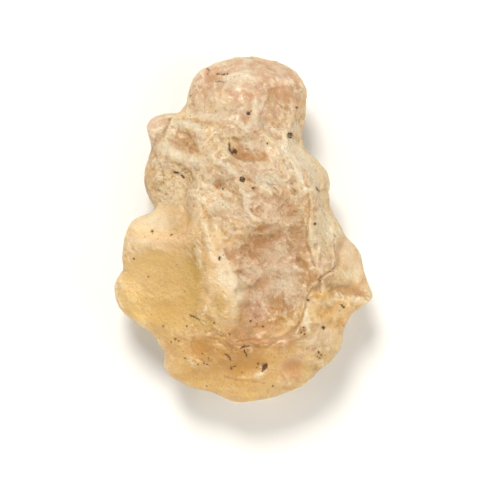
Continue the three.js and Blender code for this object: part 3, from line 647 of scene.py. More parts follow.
# Tone zones in plan: centre, half sizes, turn in degrees, colour, strength, softness of the edge.
# Calm is how much of the fine relief is worn off there, and pitted how thickly brown specks lie.
zones = {
    "shoulder": {"at": (-9.0, 0.3), "half": (4.6, 2.6), "turn": -8,
        "colour": "cream", "strength": 0.7, "soft": 0.5, "calm": 0.7},
    "window": {"at": (-8.9, -6.6), "half": (4.7, 5.0), "turn": 4,
        "colour": "honey", "strength": 1.0, "soft": 0.2, "calm": 0.85},
    "low body": {"at": (-2.0, -15.0), "half": (9.0, 4.6), "turn": 0,
        "colour": "amber", "strength": 0.8, "soft": 0.6, "calm": 0.7},
    "spine": {"at": (-2.5, -5.4), "half": (2.0, 5.4), "turn": 8,
        "colour": "cream", "strength": 1.0, "soft": 0.4, "calm": 0.75},
    "main bowl": {"at": (2.8, -5.0), "half": (4.2, 6.4), "turn": -6,
        "colour": "rose", "strength": 0.9, "soft": 0.6, "calm": 0.1, "pitted": 0.4},
    "bowl's head": {"at": (1.6, -2.0), "half": (3.6, 1.5), "turn": 8,
        "colour": "brown", "strength": 0.7, "soft": 1.0, "calm": 0.0, "pitted": 0.9},
    "bowl's right wall": {"at": (6.0, -1.6), "half": (1.1, 3.2), "turn": 6,
        "colour": "brown", "strength": 0.8, "soft": 0.9, "calm": 0.2, "pitted": 0.7},
    "bowl's foot": {"at": (2.2, -11.9), "half": (4.2, 1.5), "turn": 14,
        "colour": "umber", "strength": 1.0, "soft": 0.7, "calm": 0.8},
    "head": {"at": (0.4, 15.4), "half": (6.4, 3.8), "turn": 0,
        "colour": "rose", "strength": 0.95, "soft": 0.5, "calm": 0.25},
    "head's right": {"at": (4.4, 15.0), "half": (1.8, 1.2), "turn": 0,
        "colour": "brown", "strength": 0.45, "soft": 0.8, "calm": 0.2},
    "upper left pit": {"at": (-6.2, 9.7), "half": (1.9, 1.4), "turn": -24,
        "colour": "rose", "strength": 0.3, "soft": 0.7, "calm": 0.1},
    "left groove": {"at": (-6.1, 2.2), "half": (0.8, 3.0), "turn": 0,
        "colour": "rose", "strength": 0.4, "soft": 0.7, "calm": 0.2},
    "middle": {"at": (2.0, 4.2), "half": (4.8, 4.4), "turn": 0,
        "colour": "blush", "strength": 0.5, "soft": 0.8, "calm": 0.0},
    "right flank": {"at": (8.2, 1.6), "half": (1.6, 6.6), "turn": 12,
        "colour": "cream", "strength": 0.9, "soft": 0.6, "calm": 0.0},
    "wing": {"at": (11.6, -4.0), "half": (2.4, 3.4), "turn": 16,
        "colour": "rose", "strength": 0.5, "soft": 0.5, "calm": 0.6},
    "right dish": {"at": (9.6, -8.6), "half": (2.6, 2.0), "turn": -16,
        "colour": "gold", "strength": 0.95, "soft": 0.5, "calm": 0.5},
    "hook": {"at": (11.6, -6.6), "half": (2.4, 0.6), "turn": -16,
        "colour": "brown", "strength": 0.7, "soft": 0.6, "calm": 0.4},
    "left low dish": {"at": (-4.6, -13.0), "half": (1.6, 1.2), "turn": 0,
        "colour": "umber", "strength": 0.5, "soft": 0.8, "calm": 0.6},
    "low dish": {"at": (-0.4, -14.4), "half": (2.6, 1.6), "turn": -10,
        "colour": "umber", "strength": 0.6, "soft": 0.8, "calm": 0.6},
    "low right dimple": {"at": (5.4, -15.2), "half": (1.5, 1.3), "turn": 20,
        "colour": "rose", "strength": 0.8, "soft": 0.4, "calm": 0.5},
    "right facet": {"at": (9.0, -12.0), "half": (1.8, 1.5), "turn": -30,
        "colour": "blush", "strength": 0.6, "soft": 0.6, "calm": 0.4},
}

# Small patches by tone, laid on in this order: centre, half sizes, turn in degrees, strength
patches = {
    "cream": [
        ((-2.6, 14.8), (1.6, 1.0), 0, 0.6), ((5.5, 12.0), (0.7, 1.8), 0, 0.6),
        ((-4.0, 10.7), (1.5, 0.8), -20, 0.8), ((-3.9, 0.6), (1.3, 1.0), 0, 0.7),
        ((5.6, 4.1), (0.8, 0.4), -20, 0.8), ((-3.3, 4.2), (1.0, 0.45), -20, 0.9),
        ((-5.1, 4.0), (0.4, 0.9), 0, 0.8), ((-7.6, 4.2), (0.9, 1.2), 0, 0.5),
        ((7.4, -14.3), (1.3, 0.6), 40, 0.5), ((8.6, -8.0), (1.3, 0.25), -10, 0.7),
        ((10.0, -8.2), (1.0, 0.2), -20, 0.6), ((4.1, -11.6), (1.3, 0.3), 24, 0.7),
        ((5.3, -9.8), (0.6, 0.8), -20, 0.8), ((6.0, -8.6), (0.5, 0.9), 0, 0.5),
        ((-2.9, 13.5), (1.8, 0.8), 0, 1.0), ((-5.4, 10.6), (1.3, 0.5), -30, 0.8),
        ((0.4, 9.8), (1.4, 0.5), 0, 0.9), ((-2.3, -6.6), (1.5, 2.2), 4, 0.8),
        ((-8.8, 6.8), (0.9, 1.6), 0, 0.7), ((-3.2, 5.5), (0.9, 0.3), 0, 0.8),
        ((7.3, 6.8), (0.5, 1.8), 24, 0.8), ((8.6, 3.4), (0.5, 2.0), 14, 0.8),
        ((8.9, 0.6), (1.0, 2.0), 0, 1.0), ((-9.6, -1.2), (2.2, 0.8), -10, 0.7),
        ((-0.9, -6.6), (0.5, 1.6), 10, 0.9), ((-1.9, -4.2), (0.5, 1.0), 10, 0.8),
        ((11.9, -4.9), (1.3, 1.3), 10, 0.9), ((2.2, 11.7), (1.3, 0.6), 0, 0.7),
        ((9.2, -11.8), (1.3, 0.8), -20, 0.9), ((-3.6, 4.7), (0.8, 0.5), 0, 0.8),
        ((-6.4, -12.8), (0.7, 0.8), 0, 0.5), ((10.4, -12.0), (0.5, 1.2), 0, 0.7),
        ((10.8, -8.9), (1.0, 0.5), -20, 0.6), ((3.1, 14.0), (0.4, 0.8), 0, 0.6),
        ((2.0, 12.0), (0.6, 0.5), 0, 0.7), ((0.0, -17.9), (3.4, 0.4), 4, 0.5),
        ((9.3, -9.6), (1.6, 0.8), -10, 0.9), ((-3.0, -1.6), (0.5, 1.0), 12, 0.4),
        ((-0.2, -6.4), (0.5, 1.1), 0, 0.6), ((0.1, 10.0), (0.9, 0.5), 0, 0.8),
        ((-1.4, -7.4), (0.7, 1.6), 0, 0.6),
    ],
    "white": [
        ((-0.2, 17.0), (1.1, 0.5), 10, 0.9), ((-2.2, 16.6), (0.9, 0.16), 25, 0.7),
        ((1.2, 13.2), (0.2, 1.4), -14, 0.7), ((2.0, 13.9), (0.2, 1.2), -18, 0.7),
        ((0.8, 13.9), (0.4, 0.4), 0, 0.4), ((-6.0, 11.4), (1.6, 0.3), -8, 0.8),
        ((-7.0, 8.3), (2.2, 0.7), -22, 0.7), ((-4.6, 7.3), (1.2, 0.4), -20, 0.5),
        ((2.5, 9.2), (1.1, 0.45), 0, 0.7), ((4.6, 8.8), (0.9, 0.5), -50, 0.9),
        ((5.7, 7.3), (0.4, 1.1), 24, 0.9), ((6.3, 5.4), (0.25, 1.1), 28, 0.9),
        ((3.0, 5.5), (1.3, 0.7), -10, 0.9), ((1.9, 6.0), (0.6, 0.5), 0, 0.5),
        ((-2.5, 7.2), (1.1, 0.3), -38, 1.0), ((-1.2, 6.5), (0.8, 0.3), -44, 1.0),
        ((4.2, 8.2), (0.5, 0.7), 20, 0.7), ((-2.0, 2.6), (1.7, 0.5), -6, 0.7),
        ((0.1, 3.7), (0.16, 0.9), 4, 0.6), ((0.8, 1.6), (0.22, 0.8), 34, 0.9),
        ((2.0, 1.1), (1.0, 0.2), 4, 0.7), ((8.6, 0.1), (0.9, 1.6), -6, 0.35),
        ((9.5, -0.4), (0.3, 1.0), -10, 0.9), ((8.0, -1.6), (0.6, 1.0), 0, 0.5),
        ((-2.1, -5.4), (0.8, 0.6), 30, 0.9), ((-1.0, -6.8), (0.7, 0.5), 0, 0.5),
        ((-3.2, 12.6), (2.2, 0.5), -4, 0.6), ((-9.6, 0.8), (2.2, 0.9), 0, 0.4),
        ((11.4, -2.6), (0.9, 1.8), 10, 0.3), ((-5.0, -2.4), (0.4, 0.4), 0, 0.9),
        ((-4.8, -3.4), (0.3, 0.3), 0, 0.7), ((4.6, -6.2), (1.7, 0.4), -22, 0.7),
        ((2.4, -4.7), (1.3, 0.35), -14, 0.5), ((5.4, -4.6), (0.7, 0.4), -30, 0.4),
        ((1.0, -7.6), (0.9, 0.4), 20, 0.4), ((6.9, -10.4), (0.35, 0.9), 0, 0.8),
        ((7.6, -12.2), (1.1, 0.5), 30, 0.5), ((12.2, -7.8), (0.6, 0.25), -10, 1.0),
        ((7.4, 6.6), (0.5, 1.8), 24, 0.7), ((-1.9, -5.2), (1.0, 1.3), 10, 0.7),
        ((5.2, 9.4), (0.5, 0.7), -30, 0.7), ((4.5, 9.0), (0.5, 0.9), 24, 0.9),
        ((6.3, 8.2), (0.5, 1.4), 24, 0.8), ((-5.4, 12.6), (1.0, 0.4), 0, 0.5),
        ((-2.0, 13.3), (1.1, 0.4), 0, 0.5), ((2.0, 11.7), (0.9, 0.5), 0, 0.6),
        ((5.4, 11.1), (1.0, 0.6), 0, 0.5), ((7.7, 4.8), (0.5, 0.9), 20, 0.6),
        ((-3.4, 5.1), (0.8, 0.3), 0, 0.7), ((0.8, 9.5), (1.3, 0.4), -10, 0.6),
        ((-6.0, 2.4), (0.4, 0.8), 0, 0.4), ((-3.0, 1.4), (0.6, 1.0), 0, 0.5),
        ((9.3, -0.2), (0.3, 1.2), 0, 0.9), ((8.3, 0.6), (0.16, 0.9), 10, 0.8),
        ((2.0, 5.4), (1.2, 0.5), -20, 0.8), ((9.2, -11.6), (1.4, 0.7), -20, 0.5),
        ((10.6, -9.1), (0.8, 0.5), -20, 0.5), ((10.6, -5.9), (1.4, 0.4), -6, 0.4),
        ((-0.3, -6.2), (0.5, 1.2), 0, 0.5), ((2.2, 5.6), (0.9, 0.45), -20, 1.0),
        ((3.1, 5.9), (0.7, 0.4), 20, 1.0), ((7.1, -9.8), (0.3, 1.0), 6, 1.0),
        ((-0.9, -5.4), (0.4, 0.5), 0, 0.8), ((-0.5, -7.2), (0.4, 0.6), 0, 0.9),
        ((-0.9, -6.2), (0.6, 1.4), 8, 0.8), ((-1.0, -8.4), (0.4, 1.2), -8, 0.7),
        ((0.2, 16.6), (1.4, 0.5), 0, 0.7), ((5.0, 7.6), (0.5, 1.0), 20, 0.9),
        ((6.3, 3.4), (0.4, 1.3), 8, 0.7), ((-0.3, 1.6), (0.8, 0.5), 0, 0.6),
        ((8.7, 1.6), (0.3, 1.2), 8, 0.5), ((4.4, -4.3), (1.4, 0.5), -12, 0.5),
        ((0.2, -4.2), (0.9, 0.4), 0, 0.5), ((1.2, -4.8), (1.1, 0.4), -14, 0.5),
        ((5.4, -5.7), (1.2, 0.5), -24, 0.6), ((-2.2, -3.2), (0.5, 1.0), 10, 0.6),
        ((-8.7, 7.2), (1.0, 0.7), -20, 0.6), ((4.0, -2.4), (0.8, 0.9), 0, 0.6),
        ((12.2, -4.6), (0.8, 1.0), 10, 0.4), ((9.2, -12.2), (0.9, 0.6), -20, 0.5),
        ((1.9, -16.0), (0.7, 0.45), 30, 0.6), ((4.9, -16.5), (0.12, 0.6), 30, 0.7),
    ],
    "blush": [
        ((1.3, 17.2), (1.5, 0.8), 0, 0.7), ((4.4, 16.6), (1.7, 0.9), -20, 0.8),
        ((1.4, 10.6), (1.8, 1.2), 0, 0.8), ((4.0, 10.6), (0.9, 1.2), 0, 0.7),
        ((1.0, 6.8), (1.7, 0.8), 0, 0.8), ((-2.6, 6.0), (1.8, 0.8), -10, 0.6),
        ((3.0, 2.8), (1.9, 0.9), 0, 0.7), ((-1.4, 1.7), (1.5, 0.7), 0, 0.6),
        ((6.6, 6.2), (0.6, 1.6), 22, 0.6), ((-9.6, 11.4), (1.5, 1.5), 0, 1.0),
        ((8.4, -3.4), (0.9, 1.0), 20, 0.7), ((7.9, -12.4), (1.4, 0.9), 30, 0.5),
        ((2.0, -8.8), (1.2, 0.8), 0, 0.5), ((-6.0, 7.0), (1.8, 0.5), -16, 0.5),
        ((6.4, -13.5), (0.9, 0.5), 0, 0.6), ((0.5, 15.4), (1.6, 1.0), 0, 0.6),
        ((-2.0, 15.4), (1.0, 0.7), 0, 0.4), ((2.6, 1.9), (1.8, 0.6), 0, 0.6),
        ((0.3, -4.3), (0.9, 0.4), 0, 0.6), ((-8.6, -1.6), (1.8, 0.5), -8, 0.4),
    ],
    "honey": [
        ((-6.6, -13.2), (0.9, 1.4), 10, 0.7), ((-9.0, -6.0), (2.0, 2.4), 0, 0.7),
        ((3.2, -14.0), (1.4, 0.6), 40, 0.6), ((4.0, -14.9), (0.7, 1.2), 0, 0.5),
        ((7.2, -16.2), (1.6, 0.5), 40, 0.7), ((9.0, -8.9), (1.6, 1.0), -10, 0.9),
        ((10.2, -11.4), (0.6, 1.6), -10, 0.6), ((-2.0, -9.4), (0.9, 0.9), 0, 0.6),
        ((5.0, -13.6), (1.6, 0.5), 30, 0.5), ((8.6, -10.4), (1.6, 1.0), 0, 0.5),
        ((8.4, -12.8), (1.5, 0.8), 20, 0.5), ((6.0, -12.4), (1.2, 0.8), 0, 0.4),
        ((0.0, -9.6), (0.7, 1.4), 0, 0.4), ((-6.8, -15.0), (1.4, 1.0), 0, 0.7),
        ((-3.4, -16.8), (2.4, 0.6), -10, 0.7), ((3.0, -17.0), (2.4, 0.6), 10, 0.7),
        ((6.6, -15.0), (1.0, 0.6), 40, 0.4), ((0.0, -17.6), (5.0, 0.6), 0, 0.5),
        ((-0.7, -0.8), (1.3, 0.7), 14, 0.9), ((9.0, -5.6), (1.2, 0.6), 10, 0.7),
        ((10.2, -13.0), (1.0, 1.4), 0, 0.8), ((10.8, -4.8), (1.6, 1.5), 0, 0.4),
        ((-1.0, -10.2), (0.9, 1.0), 0, 0.5), ((8.0, -13.6), (1.2, 0.6), 30, 0.4),
    ],
    "gold": [
        ((-3.6, -2.8), (1.0, 1.6), 0, 0.5), ((-0.7, -1.1), (1.4, 0.5), 14, 0.7),
        ((9.0, -10.6), (1.5, 0.7), 0, 0.5), ((-4.8, -8.6), (0.7, 1.2), 0, 0.4),
        ((-5.0, -2.4), (0.7, 0.8), 0, 0.3), ((-2.3, 4.6), (0.5, 0.4), 0, 0.4),
        ((0.0, 4.8), (1.4, 0.7), 0, 0.4), ((9.2, -9.4), (2.0, 1.2), -10, 1.0),
        ((9.6, -9.2), (1.6, 0.8), -10, 0.8),
    ],
    "olive": [
        ((-6.6, -10.2), (2.4, 0.9), 0, 0.9), ((-8.4, -6.0), (1.8, 1.8), 0, 0.5),
        ((4.0, -9.8), (1.2, 0.6), 20, 0.5), ((-7.4, 0.8), (1.0, 1.6), 0, 0.9),
        ((-5.0, -1.0), (0.9, 1.2), 0, 0.7), ((4.0, -9.8), (1.4, 0.8), 20, 0.8),
        ((-1.0, -0.7), (1.0, 0.4), 20, 0.5), ((-5.5, -5.6), (1.4, 3.6), 0, 1.0),
        ((-6.8, -3.8), (1.9, 0.8), 0, 0.8), ((-12.4, -4.6), (0.6, 1.4), 0, 0.5),
        ((-2.4, -8.3), (0.9, 1.3), 0, 0.9), ((-3.4, -10.6), (1.5, 0.7), 0, 0.5),
        ((-8.0, -8.8), (2.4, 1.2), 0, 0.5), ((-6.1, 2.2), (0.5, 2.0), 0, 0.5),
    ],
    "rose": [
        ((1.2, -9.0), (1.2, 1.0), 0, 0.7), ((3.0, -3.4), (2.6, 1.4), -10, 0.5),
        ((-9.8, 11.4), (1.2, 1.4), 0, 0.7), ((-3.4, 15.6), (2.0, 0.9), 20, 0.4),
        ((0.2, 8.6), (1.6, 0.8), -14, 0.9), ((3.2, 12.7), (1.2, 1.0), 0, 0.5),
        ((0.7, 11.4), (1.2, 0.7), 0, 0.4), ((5.4, 15.2), (1.0, 0.9), 0, 0.5),
        ((1.6, 14.8), (1.2, 1.0), 0, 0.3), ((-3.6, 15.8), (1.2, 1.4), 0, 0.4),
        ((0.3, 13.6), (0.9, 0.6), 0, 0.7), ((5.4, 15.4), (0.8, 0.9), 0, 0.6),
        ((4.4, 16.9), (1.2, 0.8), -20, 0.5), ((2.6, -2.6), (1.6, 0.9), 0, 0.4),
        ((2.0, -7.2), (2.2, 0.8), 0, 0.4), ((0.2, 12.2), (0.8, 0.5), 0, 0.6),
        ((-1.5, 10.9), (0.9, 0.4), 0, 0.7), ((5.5, 13.2), (0.7, 0.6), 0, 0.5),
        ((-9.8, 7.0), (0.8, 2.4), 0, 0.4),
    ],
    # Painted glow: gold on thin edges, the right flank and the bottom rim, where light comes through
    "rimGlow": [
        ((-8.6, 5.2), (0.7, 0.9), 0, 0.7), ((8.8, 0.8), (0.9, 2.0), 4, 0.35),
        ((8.8, -3.0), (0.8, 1.0), 0, 0.2), ((8.4, 4.0), (0.4, 1.4), 8, 0.3),
        ((-11.6, -9.4), (1.0, 0.6), -50, 0.5), ((-3.4, -17.2), (2.6, 0.4), -10, 0.6),
        ((0.6, -18.2), (2.0, 0.4), 6, 0.6),
    ],
    "rust": [
        ((-0.4, 8.35), (0.8, 0.35), -30, 0.8), ((0.8, 8.0), (1.2, 0.3), -4, 0.8),
        ((2.2, 7.8), (0.8, 0.35), 0, 0.9), ((-2.9, 4.75), (0.55, 0.35), -10, 0.9),
        ((1.9, 0.05), (0.6, 0.4), 0, 0.6), ((0.1, 12.3), (0.4, 0.25), 0, 0.5),
        ((-0.9, 8.4), (0.5, 0.5), 0, 0.7), ((-6.4, 9.6), (1.2, 0.25), -34, 0.6),
        ((-5.9, 8.9), (1.0, 0.2), -34, 0.6),
    ],
    "umber": [
        ((-2.8, -14.9), (1.8, 0.8), 10, 0.6), ((1.6, -14.6), (1.0, 0.9), 0, 0.6),
        ((-4.7, -13.2), (1.5, 1.1), -20, 0.5), ((-0.4, -14.3), (1.8, 1.2), -10, 0.6),
        ((8.3, -6.3), (0.6, 0.5), 0, 0.6), ((10.5, -7.3), (0.9, 0.35), 0, 0.5),
        ((2.0, -12.8), (1.6, 0.4), 6, 0.7), ((1.2, -12.2), (1.4, 0.7), 0, 0.7),
        ((4.9, -12.3), (1.0, 0.35), 30, 0.5), ((3.2, -10.5), (0.9, 0.45), 10, 0.7),
        ((8.0, -5.7), (0.9, 0.7), 0, 0.5), ((7.0, -4.9), (0.6, 0.9), 20, 0.6),
        ((6.4, 0.9), (0.6, 1.6), 0, 0.6), ((6.2, -3.9), (1.0, 0.8), 0, 0.3),
        ((7.8, -3.4), (0.9, 0.9), 0, 0.3), ((4.2, -9.4), (0.9, 1.0), 0, 0.6),
        ((-1.4, -10.8), (1.2, 0.7), -20, 0.6), ((5.0, -11.8), (1.2, 0.5), 36, 0.6),
        ((-1.4, 11.0), (1.0, 0.4), 0, 0.4), ((5.6, 15.2), (0.9, 0.8), 0, 0.3),
    ],
    "brown": [
        ((8.0, -5.6), (0.8, 0.8), 0, 0.6), ((1.4, -2.0), (1.6, 0.9), 0, 0.6),
        ((5.9, -1.4), (0.8, 1.8), 0, 0.8), ((6.6, 2.4), (0.4, 1.1), 0, 0.6),
        ((0.2, 4.6), (1.1, 0.4), -20, 0.5), ((-1.3, 11.4), (0.8, 0.5), 0, 0.4),
        ((5.4, 15.3), (0.7, 0.8), 0, 0.4), ((-3.4, 16.1), (0.9, 0.5), 20, 0.4),
        ((-7.9, 1.2), (0.7, 1.2), 0, 0.3), ((9.6, -3.4), (0.6, 0.9), 0, 0.5),
        ((-6.6, -0.6), (1.0, 0.8), 0, 0.3), ((-3.9, -1.6), (0.7, 0.9), 0, 0.3),
        ((0.2, 13.2), (0.8, 0.6), 0, 0.4), ((3.2, 16.6), (1.3, 0.7), -10, 0.3),
        ((0.6, 3.9), (0.9, 0.4), 0, 0.5), ((2.4, -3.7), (0.9, 0.5), 0, 0.5),
        ((1.4, 4.0), (1.0, 0.4), -10, 0.6), ((8.4, -4.6), (0.7, 0.5), 0, 0.4),
        ((10.3, -4.0), (0.4, 0.7), 0, 0.4), ((7.0, -4.9), (0.7, 0.9), 20, 0.7),
        ((0.9, -1.6), (0.9, 0.9), 0, 0.6), ((1.7, -6.0), (0.9, 0.5), 0, 0.5),
        ((0.0, -8.8), (0.4, 0.8), 0, 0.5), ((3.3, -10.5), (0.9, 0.4), 10, 0.5),
        ((3.4, 3.6), (1.8, 0.6), -6, 0.4), ((5.4, 2.0), (1.0, 0.8), -30, 0.5),
        ((-1.0, -0.4), (0.6, 0.6), 0, 0.5), ((4.9, -12.9), (1.8, 0.4), 28, 0.5),
        ((-1.4, -12.6), (0.7, 0.8), 40, 0.4),
    ],
    "amber": [
        ((-6.2, 9.4), (1.3, 0.8), -30, 0.6), ((-8.3, 10.2), (0.7, 0.8), 0, 0.4),
        ((5.0, -16.3), (1.0, 0.7), 0, 0.5), ((-9.8, 7.6), (0.9, 1.8), 0, 0.8),
        ((-10.4, 5.0), (1.0, 1.4), 0, 0.9), ((3.8, -8.2), (1.0, 1.1), 0, 0.7),
        ((5.2, -10.9), (1.4, 0.6), 35, 0.5), ((12.0, -6.3), (1.4, 0.4), -14, 0.8),
        ((10.0, -6.3), (0.9, 0.35), 0, 0.8), ((9.0, -11.8), (1.4, 0.8), -20, 0.4),
        ((9.8, -10.4), (1.4, 0.5), 10, 0.7), ((10.0, -5.4), (0.9, 0.5), 0, 0.7),
    ],
    # bark is partly brown stain and partly painted shade, under the bowl's lower rim and beside the
    # hook
    "bark": [
        ((2.0, -12.4), (2.0, 0.5), 4, 0.85), ((0.2, -11.4), (1.0, 0.9), -20, 0.75),
        ((5.0, -11.9), (1.2, 0.5), 34, 0.75), ((8.3, -6.5), (0.7, 0.45), 10, 0.65),
        ((10.5, -7.2), (0.9, 0.4), -10, 0.75), ((9.6, -3.6), (0.6, 0.9), 0, 0.4),
        ((3.2, -2.3), (1.6, 0.7), 0, 0.25), ((5.2, -1.4), (1.0, 1.0), 0, 0.22),
        ((5.5, 15.3), (0.8, 0.7), 0, 0.75), ((-7.5, 0.6), (0.9, 0.8), 0, 0.12),
        ((-0.5, -10.4), (0.6, 0.8), 10, 0.3), ((0.9, -1.6), (1.2, 0.7), 0, 0.15),
        ((7.0, -4.8), (0.4, 0.8), 10, 0.15), ((2.3, 3.8), (1.2, 0.3), -8, 0.15),
        ((3.4, -7.6), (0.8, 0.8), 0, 0.15), ((5.6, -9.0), (0.3, 0.5), 0, 0.1),
    ],
}

# Linear colours that the clear glass is tinted with at the surface. The rim tone is painted glow, bark
# is partly painted shade, and white, blush and rose are partly painted light
tones = {
    "honey": (0.71, 0.505, 0.18),
    "gold": (0.88, 0.54, 0.13),
    "olive": (0.62, 0.42, 0.10),
    "amber": (0.67, 0.405, 0.11),
    # Painted glow: the gold of light coming through thin edges
    "rimGlow": (0.98, 0.74, 0.26),
    "cream": (0.89, 0.68, 0.385),
    # white: frosted glass, partly a painted highlight
    "white": (1.00, 0.95, 0.76),
    # blush and rose: partly the glass's own tint, partly painted light, the pink of what lay behind
    # the glass
    "blush": (0.79, 0.57, 0.445),
    "rose": (0.67, 0.395, 0.255),
    "brown": (0.53, 0.28, 0.115),
    "rust": (0.62, 0.28, 0.07),
    "umber": (0.49, 0.26, 0.05),
    # bark: partly brown stain, partly painted shade
    "bark": (0.19, 0.09, 0.016),
}


def zoneShare(plan, zone):
    edge = ellipse(plan, zone["at"], zone["half"], zone["turn"])
    return 1 - smooth(edge, 1 - zone["soft"] / 2, 1 + zone["soft"] / 2)


def setAttribute(mesh, name, values):
    if values.ndim == 1:
        attribute = mesh.attributes.new(name, "FLOAT", "POINT")
        attribute.data.foreach_set("value", values.astype(np.float32))
    else:
        attribute = mesh.attributes.new(name, "FLOAT_COLOR", "POINT")
        rgba = np.column_stack([values, np.ones(len(values))])
        attribute.data.foreach_set("color", rgba.astype(np.float32).ravel())


def coordinates(mesh, field="co"):
    values = np.empty(len(mesh.vertices) * 3)
    mesh.vertices.foreach_get(field, values)
    return values.reshape(-1, 3)


def wornForm(material):
    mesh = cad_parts["desert_glass"].data.copy()
    mesh.name = "desert glass skin"
    bm = bmesh.new()
    bm.from_mesh(mesh)
    bmesh.ops.remove_doubles(bm, verts=bm.verts, dist=0.0001 * mm)
    bm.to_mesh(mesh)
    bm.free()
    for layer in list(mesh.uv_layers):
        mesh.uv_layers.remove(layer)
    plan = seenPlan(coordinates(mesh) / mm)
    rough = np.ones(len(plan))
    for zone in zones.values():
        rough *= 1 - zone["calm"] * zoneShare(plan, zone)
    setAttribute(mesh, "rough", rough)

    form = bpy.data.objects.new("desert_glass_form", mesh)
    bpy.context.scene.collection.objects.link(form)
    modifier = form.modifiers.new("worn skin", "NODES")
    modifier.node_group = makeSkinTree(material)
    setInputs(modifier, skinWear)
    depsgraph = bpy.context.evaluated_depsgraph_get()
    skin = bpy.data.meshes.new_from_object(form.evaluated_get(depsgraph))
    bpy.data.objects.remove(form)
    print("worn form:", len(skin.vertices), "vertices")
    return skin


# How the marks are carved into the skin; lengths in mm
carving = {
    "refineReaches": (0.16, 0.05),  # from a soiled mark, one halving of the faces for each
    "refineAbove": 4.0,
    "spotMargin": 0.02,
    "ringHalfWidth": 0.09,
    "farthest": 1.0,  # distances from marks aren't followed past this
    "bend": {"size": 1.5, "reach": 0.3, "seed": 1},
    "uneven": {"size": 1.1, "seed": 5, "middle": 0.9, "reach": 1.3},
    "strokeEnd": 0.35,  # width and height left at a stroke's ends
    "strokeFade": 0.3,  # of its length, at each end
    "strokeSkirt": {"width": 1.5, "share": 0.6},
    "strokeCore": {"width": 0.8, "share": 0.4},
    "lineFade": (0.2, -0.05),
    "creaseDepth": 0.06,
    "veinHeight": 0.04,
    "upward": (0.05, 0.45),  # marks fade in as the skin turns from upright to level
}


def soilDistance(plan):
    # How far each point is past the rim of the nearest soiled mark, in mm
    nearest = np.full(len(plan), np.inf)
    for centre, radius in soil["spots"]:
        gap = np.linalg.norm(plan - centre, axis=1) - radius
        nearest = np.minimum(nearest, gap - carving["spotMargin"])
    for centre, radius in soil["rings"]:
        gap = np.abs(np.linalg.norm(plan - centre, axis=1) - radius)
        nearest = np.minimum(nearest, gap - carving["ringHalfWidth"])
    for path, halfWidth in soil["cracks"]:
        nearest = np.minimum(nearest, alongPath(plan, path)[0] - halfWidth)
    return nearest


def lineDistance(plan, lines):
    # How far each point is past the edge of the nearest line, in mm
    gaps = [alongPath(plan, path)[0] - halfWidth for path, halfWidth in lines]
    return np.minimum(np.min(gaps, axis=0), carving["farthest"])


def refine(mesh, reach):
    # Halve the faces that lie within a reach of the soiled marks, on the upper side
    points = coordinates(mesh) / mm
    wanted = (soilDistance(seenPlan(points)) < reach) & (points[:, 2] > carving["refineAbove"])
    bm = bmesh.new()
    bm.from_mesh(mesh)
    edges = [e for e in bm.edges if wanted[e.verts[0].index] and wanted[e.verts[1].index]]
    bmesh.ops.subdivide_edges(bm, edges=edges, cuts=1, use_grid_fill=True)
    bmesh.ops.triangulate(bm, faces=[face for face in bm.faces if len(face.verts) > 4])
    for face in bm.faces:
        face.smooth = True
    bm.to_mesh(mesh)
    bm.free()
    mesh.update()
    print("refined to", len(mesh.vertices), "vertices")


def strokePush(plan, path, halfWidth, height):
    # How far a crest stands up: a core on a wider skirt, thinner at both ends
    distance, share = alongPath(plan, path)
    fade = carving["strokeFade"]
    least = carving["strokeEnd"]
    taper = least + (1 - least) * smooth(share, 0, fade) * smooth(share, 1, 1 - fade)
    push = np.zeros(len(plan))
    for part in (carving["strokeSkirt"], carving["strokeCore"]):
        push += part["share"] * bell(distance / (halfWidth * part["width"] * taper))
    return height * taper * push


def carveMarks(mesh):
    points = coordinates(mesh)
    normals = coordinates(mesh, "normal")
    plan = bentPlan(points / mm, carving["bend"])
    uneven = carving["uneven"]
    lumpy = noiseOf(points / mm, uneven["size"], uneven["seed"])
    lumpy = np.clip(uneven["middle"] + uneven["reach"] * lumpy, 0, 2)
    push = np.zeros(len(plan))
    for crest in crests:
        push += strokePush(plan, *crest) * lumpy
    for groove in grooves:
        push -= strokePush(plan, *groove) * lumpy
    push -= carving["creaseDepth"] * smooth(lineDistance(plan, creases), *carving["lineFade"])
    push += carving["veinHeight"] * smooth(lineDistance(plan, veins), *carving["lineFade"])
    for centre, radius, depth in pits:
        push -= depth * bell(np.linalg.norm(plan - centre, axis=1) / radius)
    upward = smooth(normals[:, 2], *carving["upward"])
    points += normals * (push * upward)[:, None] * mm
    for centre, radius, move in shifts:
        share = bell(np.linalg.norm(plan - centre, axis=1) / radius)
        points[:, :2] += share[:, None] * np.array(move) * mm
    points[:, 2] = np.maximum(points[:, 2], 0)
    mesh.vertices.foreach_set("co", points.ravel())
    mesh.update()
    print("marks carved")


# How the tones and marks are painted on the skin; lengths in mm
painting = {
    "lowPart": (2, -13),  # from cream at the first place to honey at the second, along the stone
    "zoneBend": {"size": 2.2, "reach": 0.5, "seed": 9},
    "patchBend": {"size": 0.9, "reach": 0.25, "seed": 11},
    "markBend": {"size": 0.35, "reach": 0.09, "seed": 14},
    # Painted glow: the rim tone is laid on upright sides, where light comes through thin glass
    "glowLip": (0.55, 0.1),  # the rim tone fades in as the skin turns upright
    "glowLipShare": 0.7,
    "patchReach": 1.6,  # where a patch has faded out, in its half sizes
    "stainReach": 1.5,
    # Crests are whitened: partly frosted wear, partly painted highlight
    "crestReach": 1.3,  # where a crest's frost has faded out, in its half widths
    "crestFrost": 2.0,  # for each mm of its height
    "marksAbove": 3.0,
    "broadRounds": 24,  # of softening, for the form that small hollows are measured from
    "driftRounds": 120,
    "deepHollow": 0.08,
}


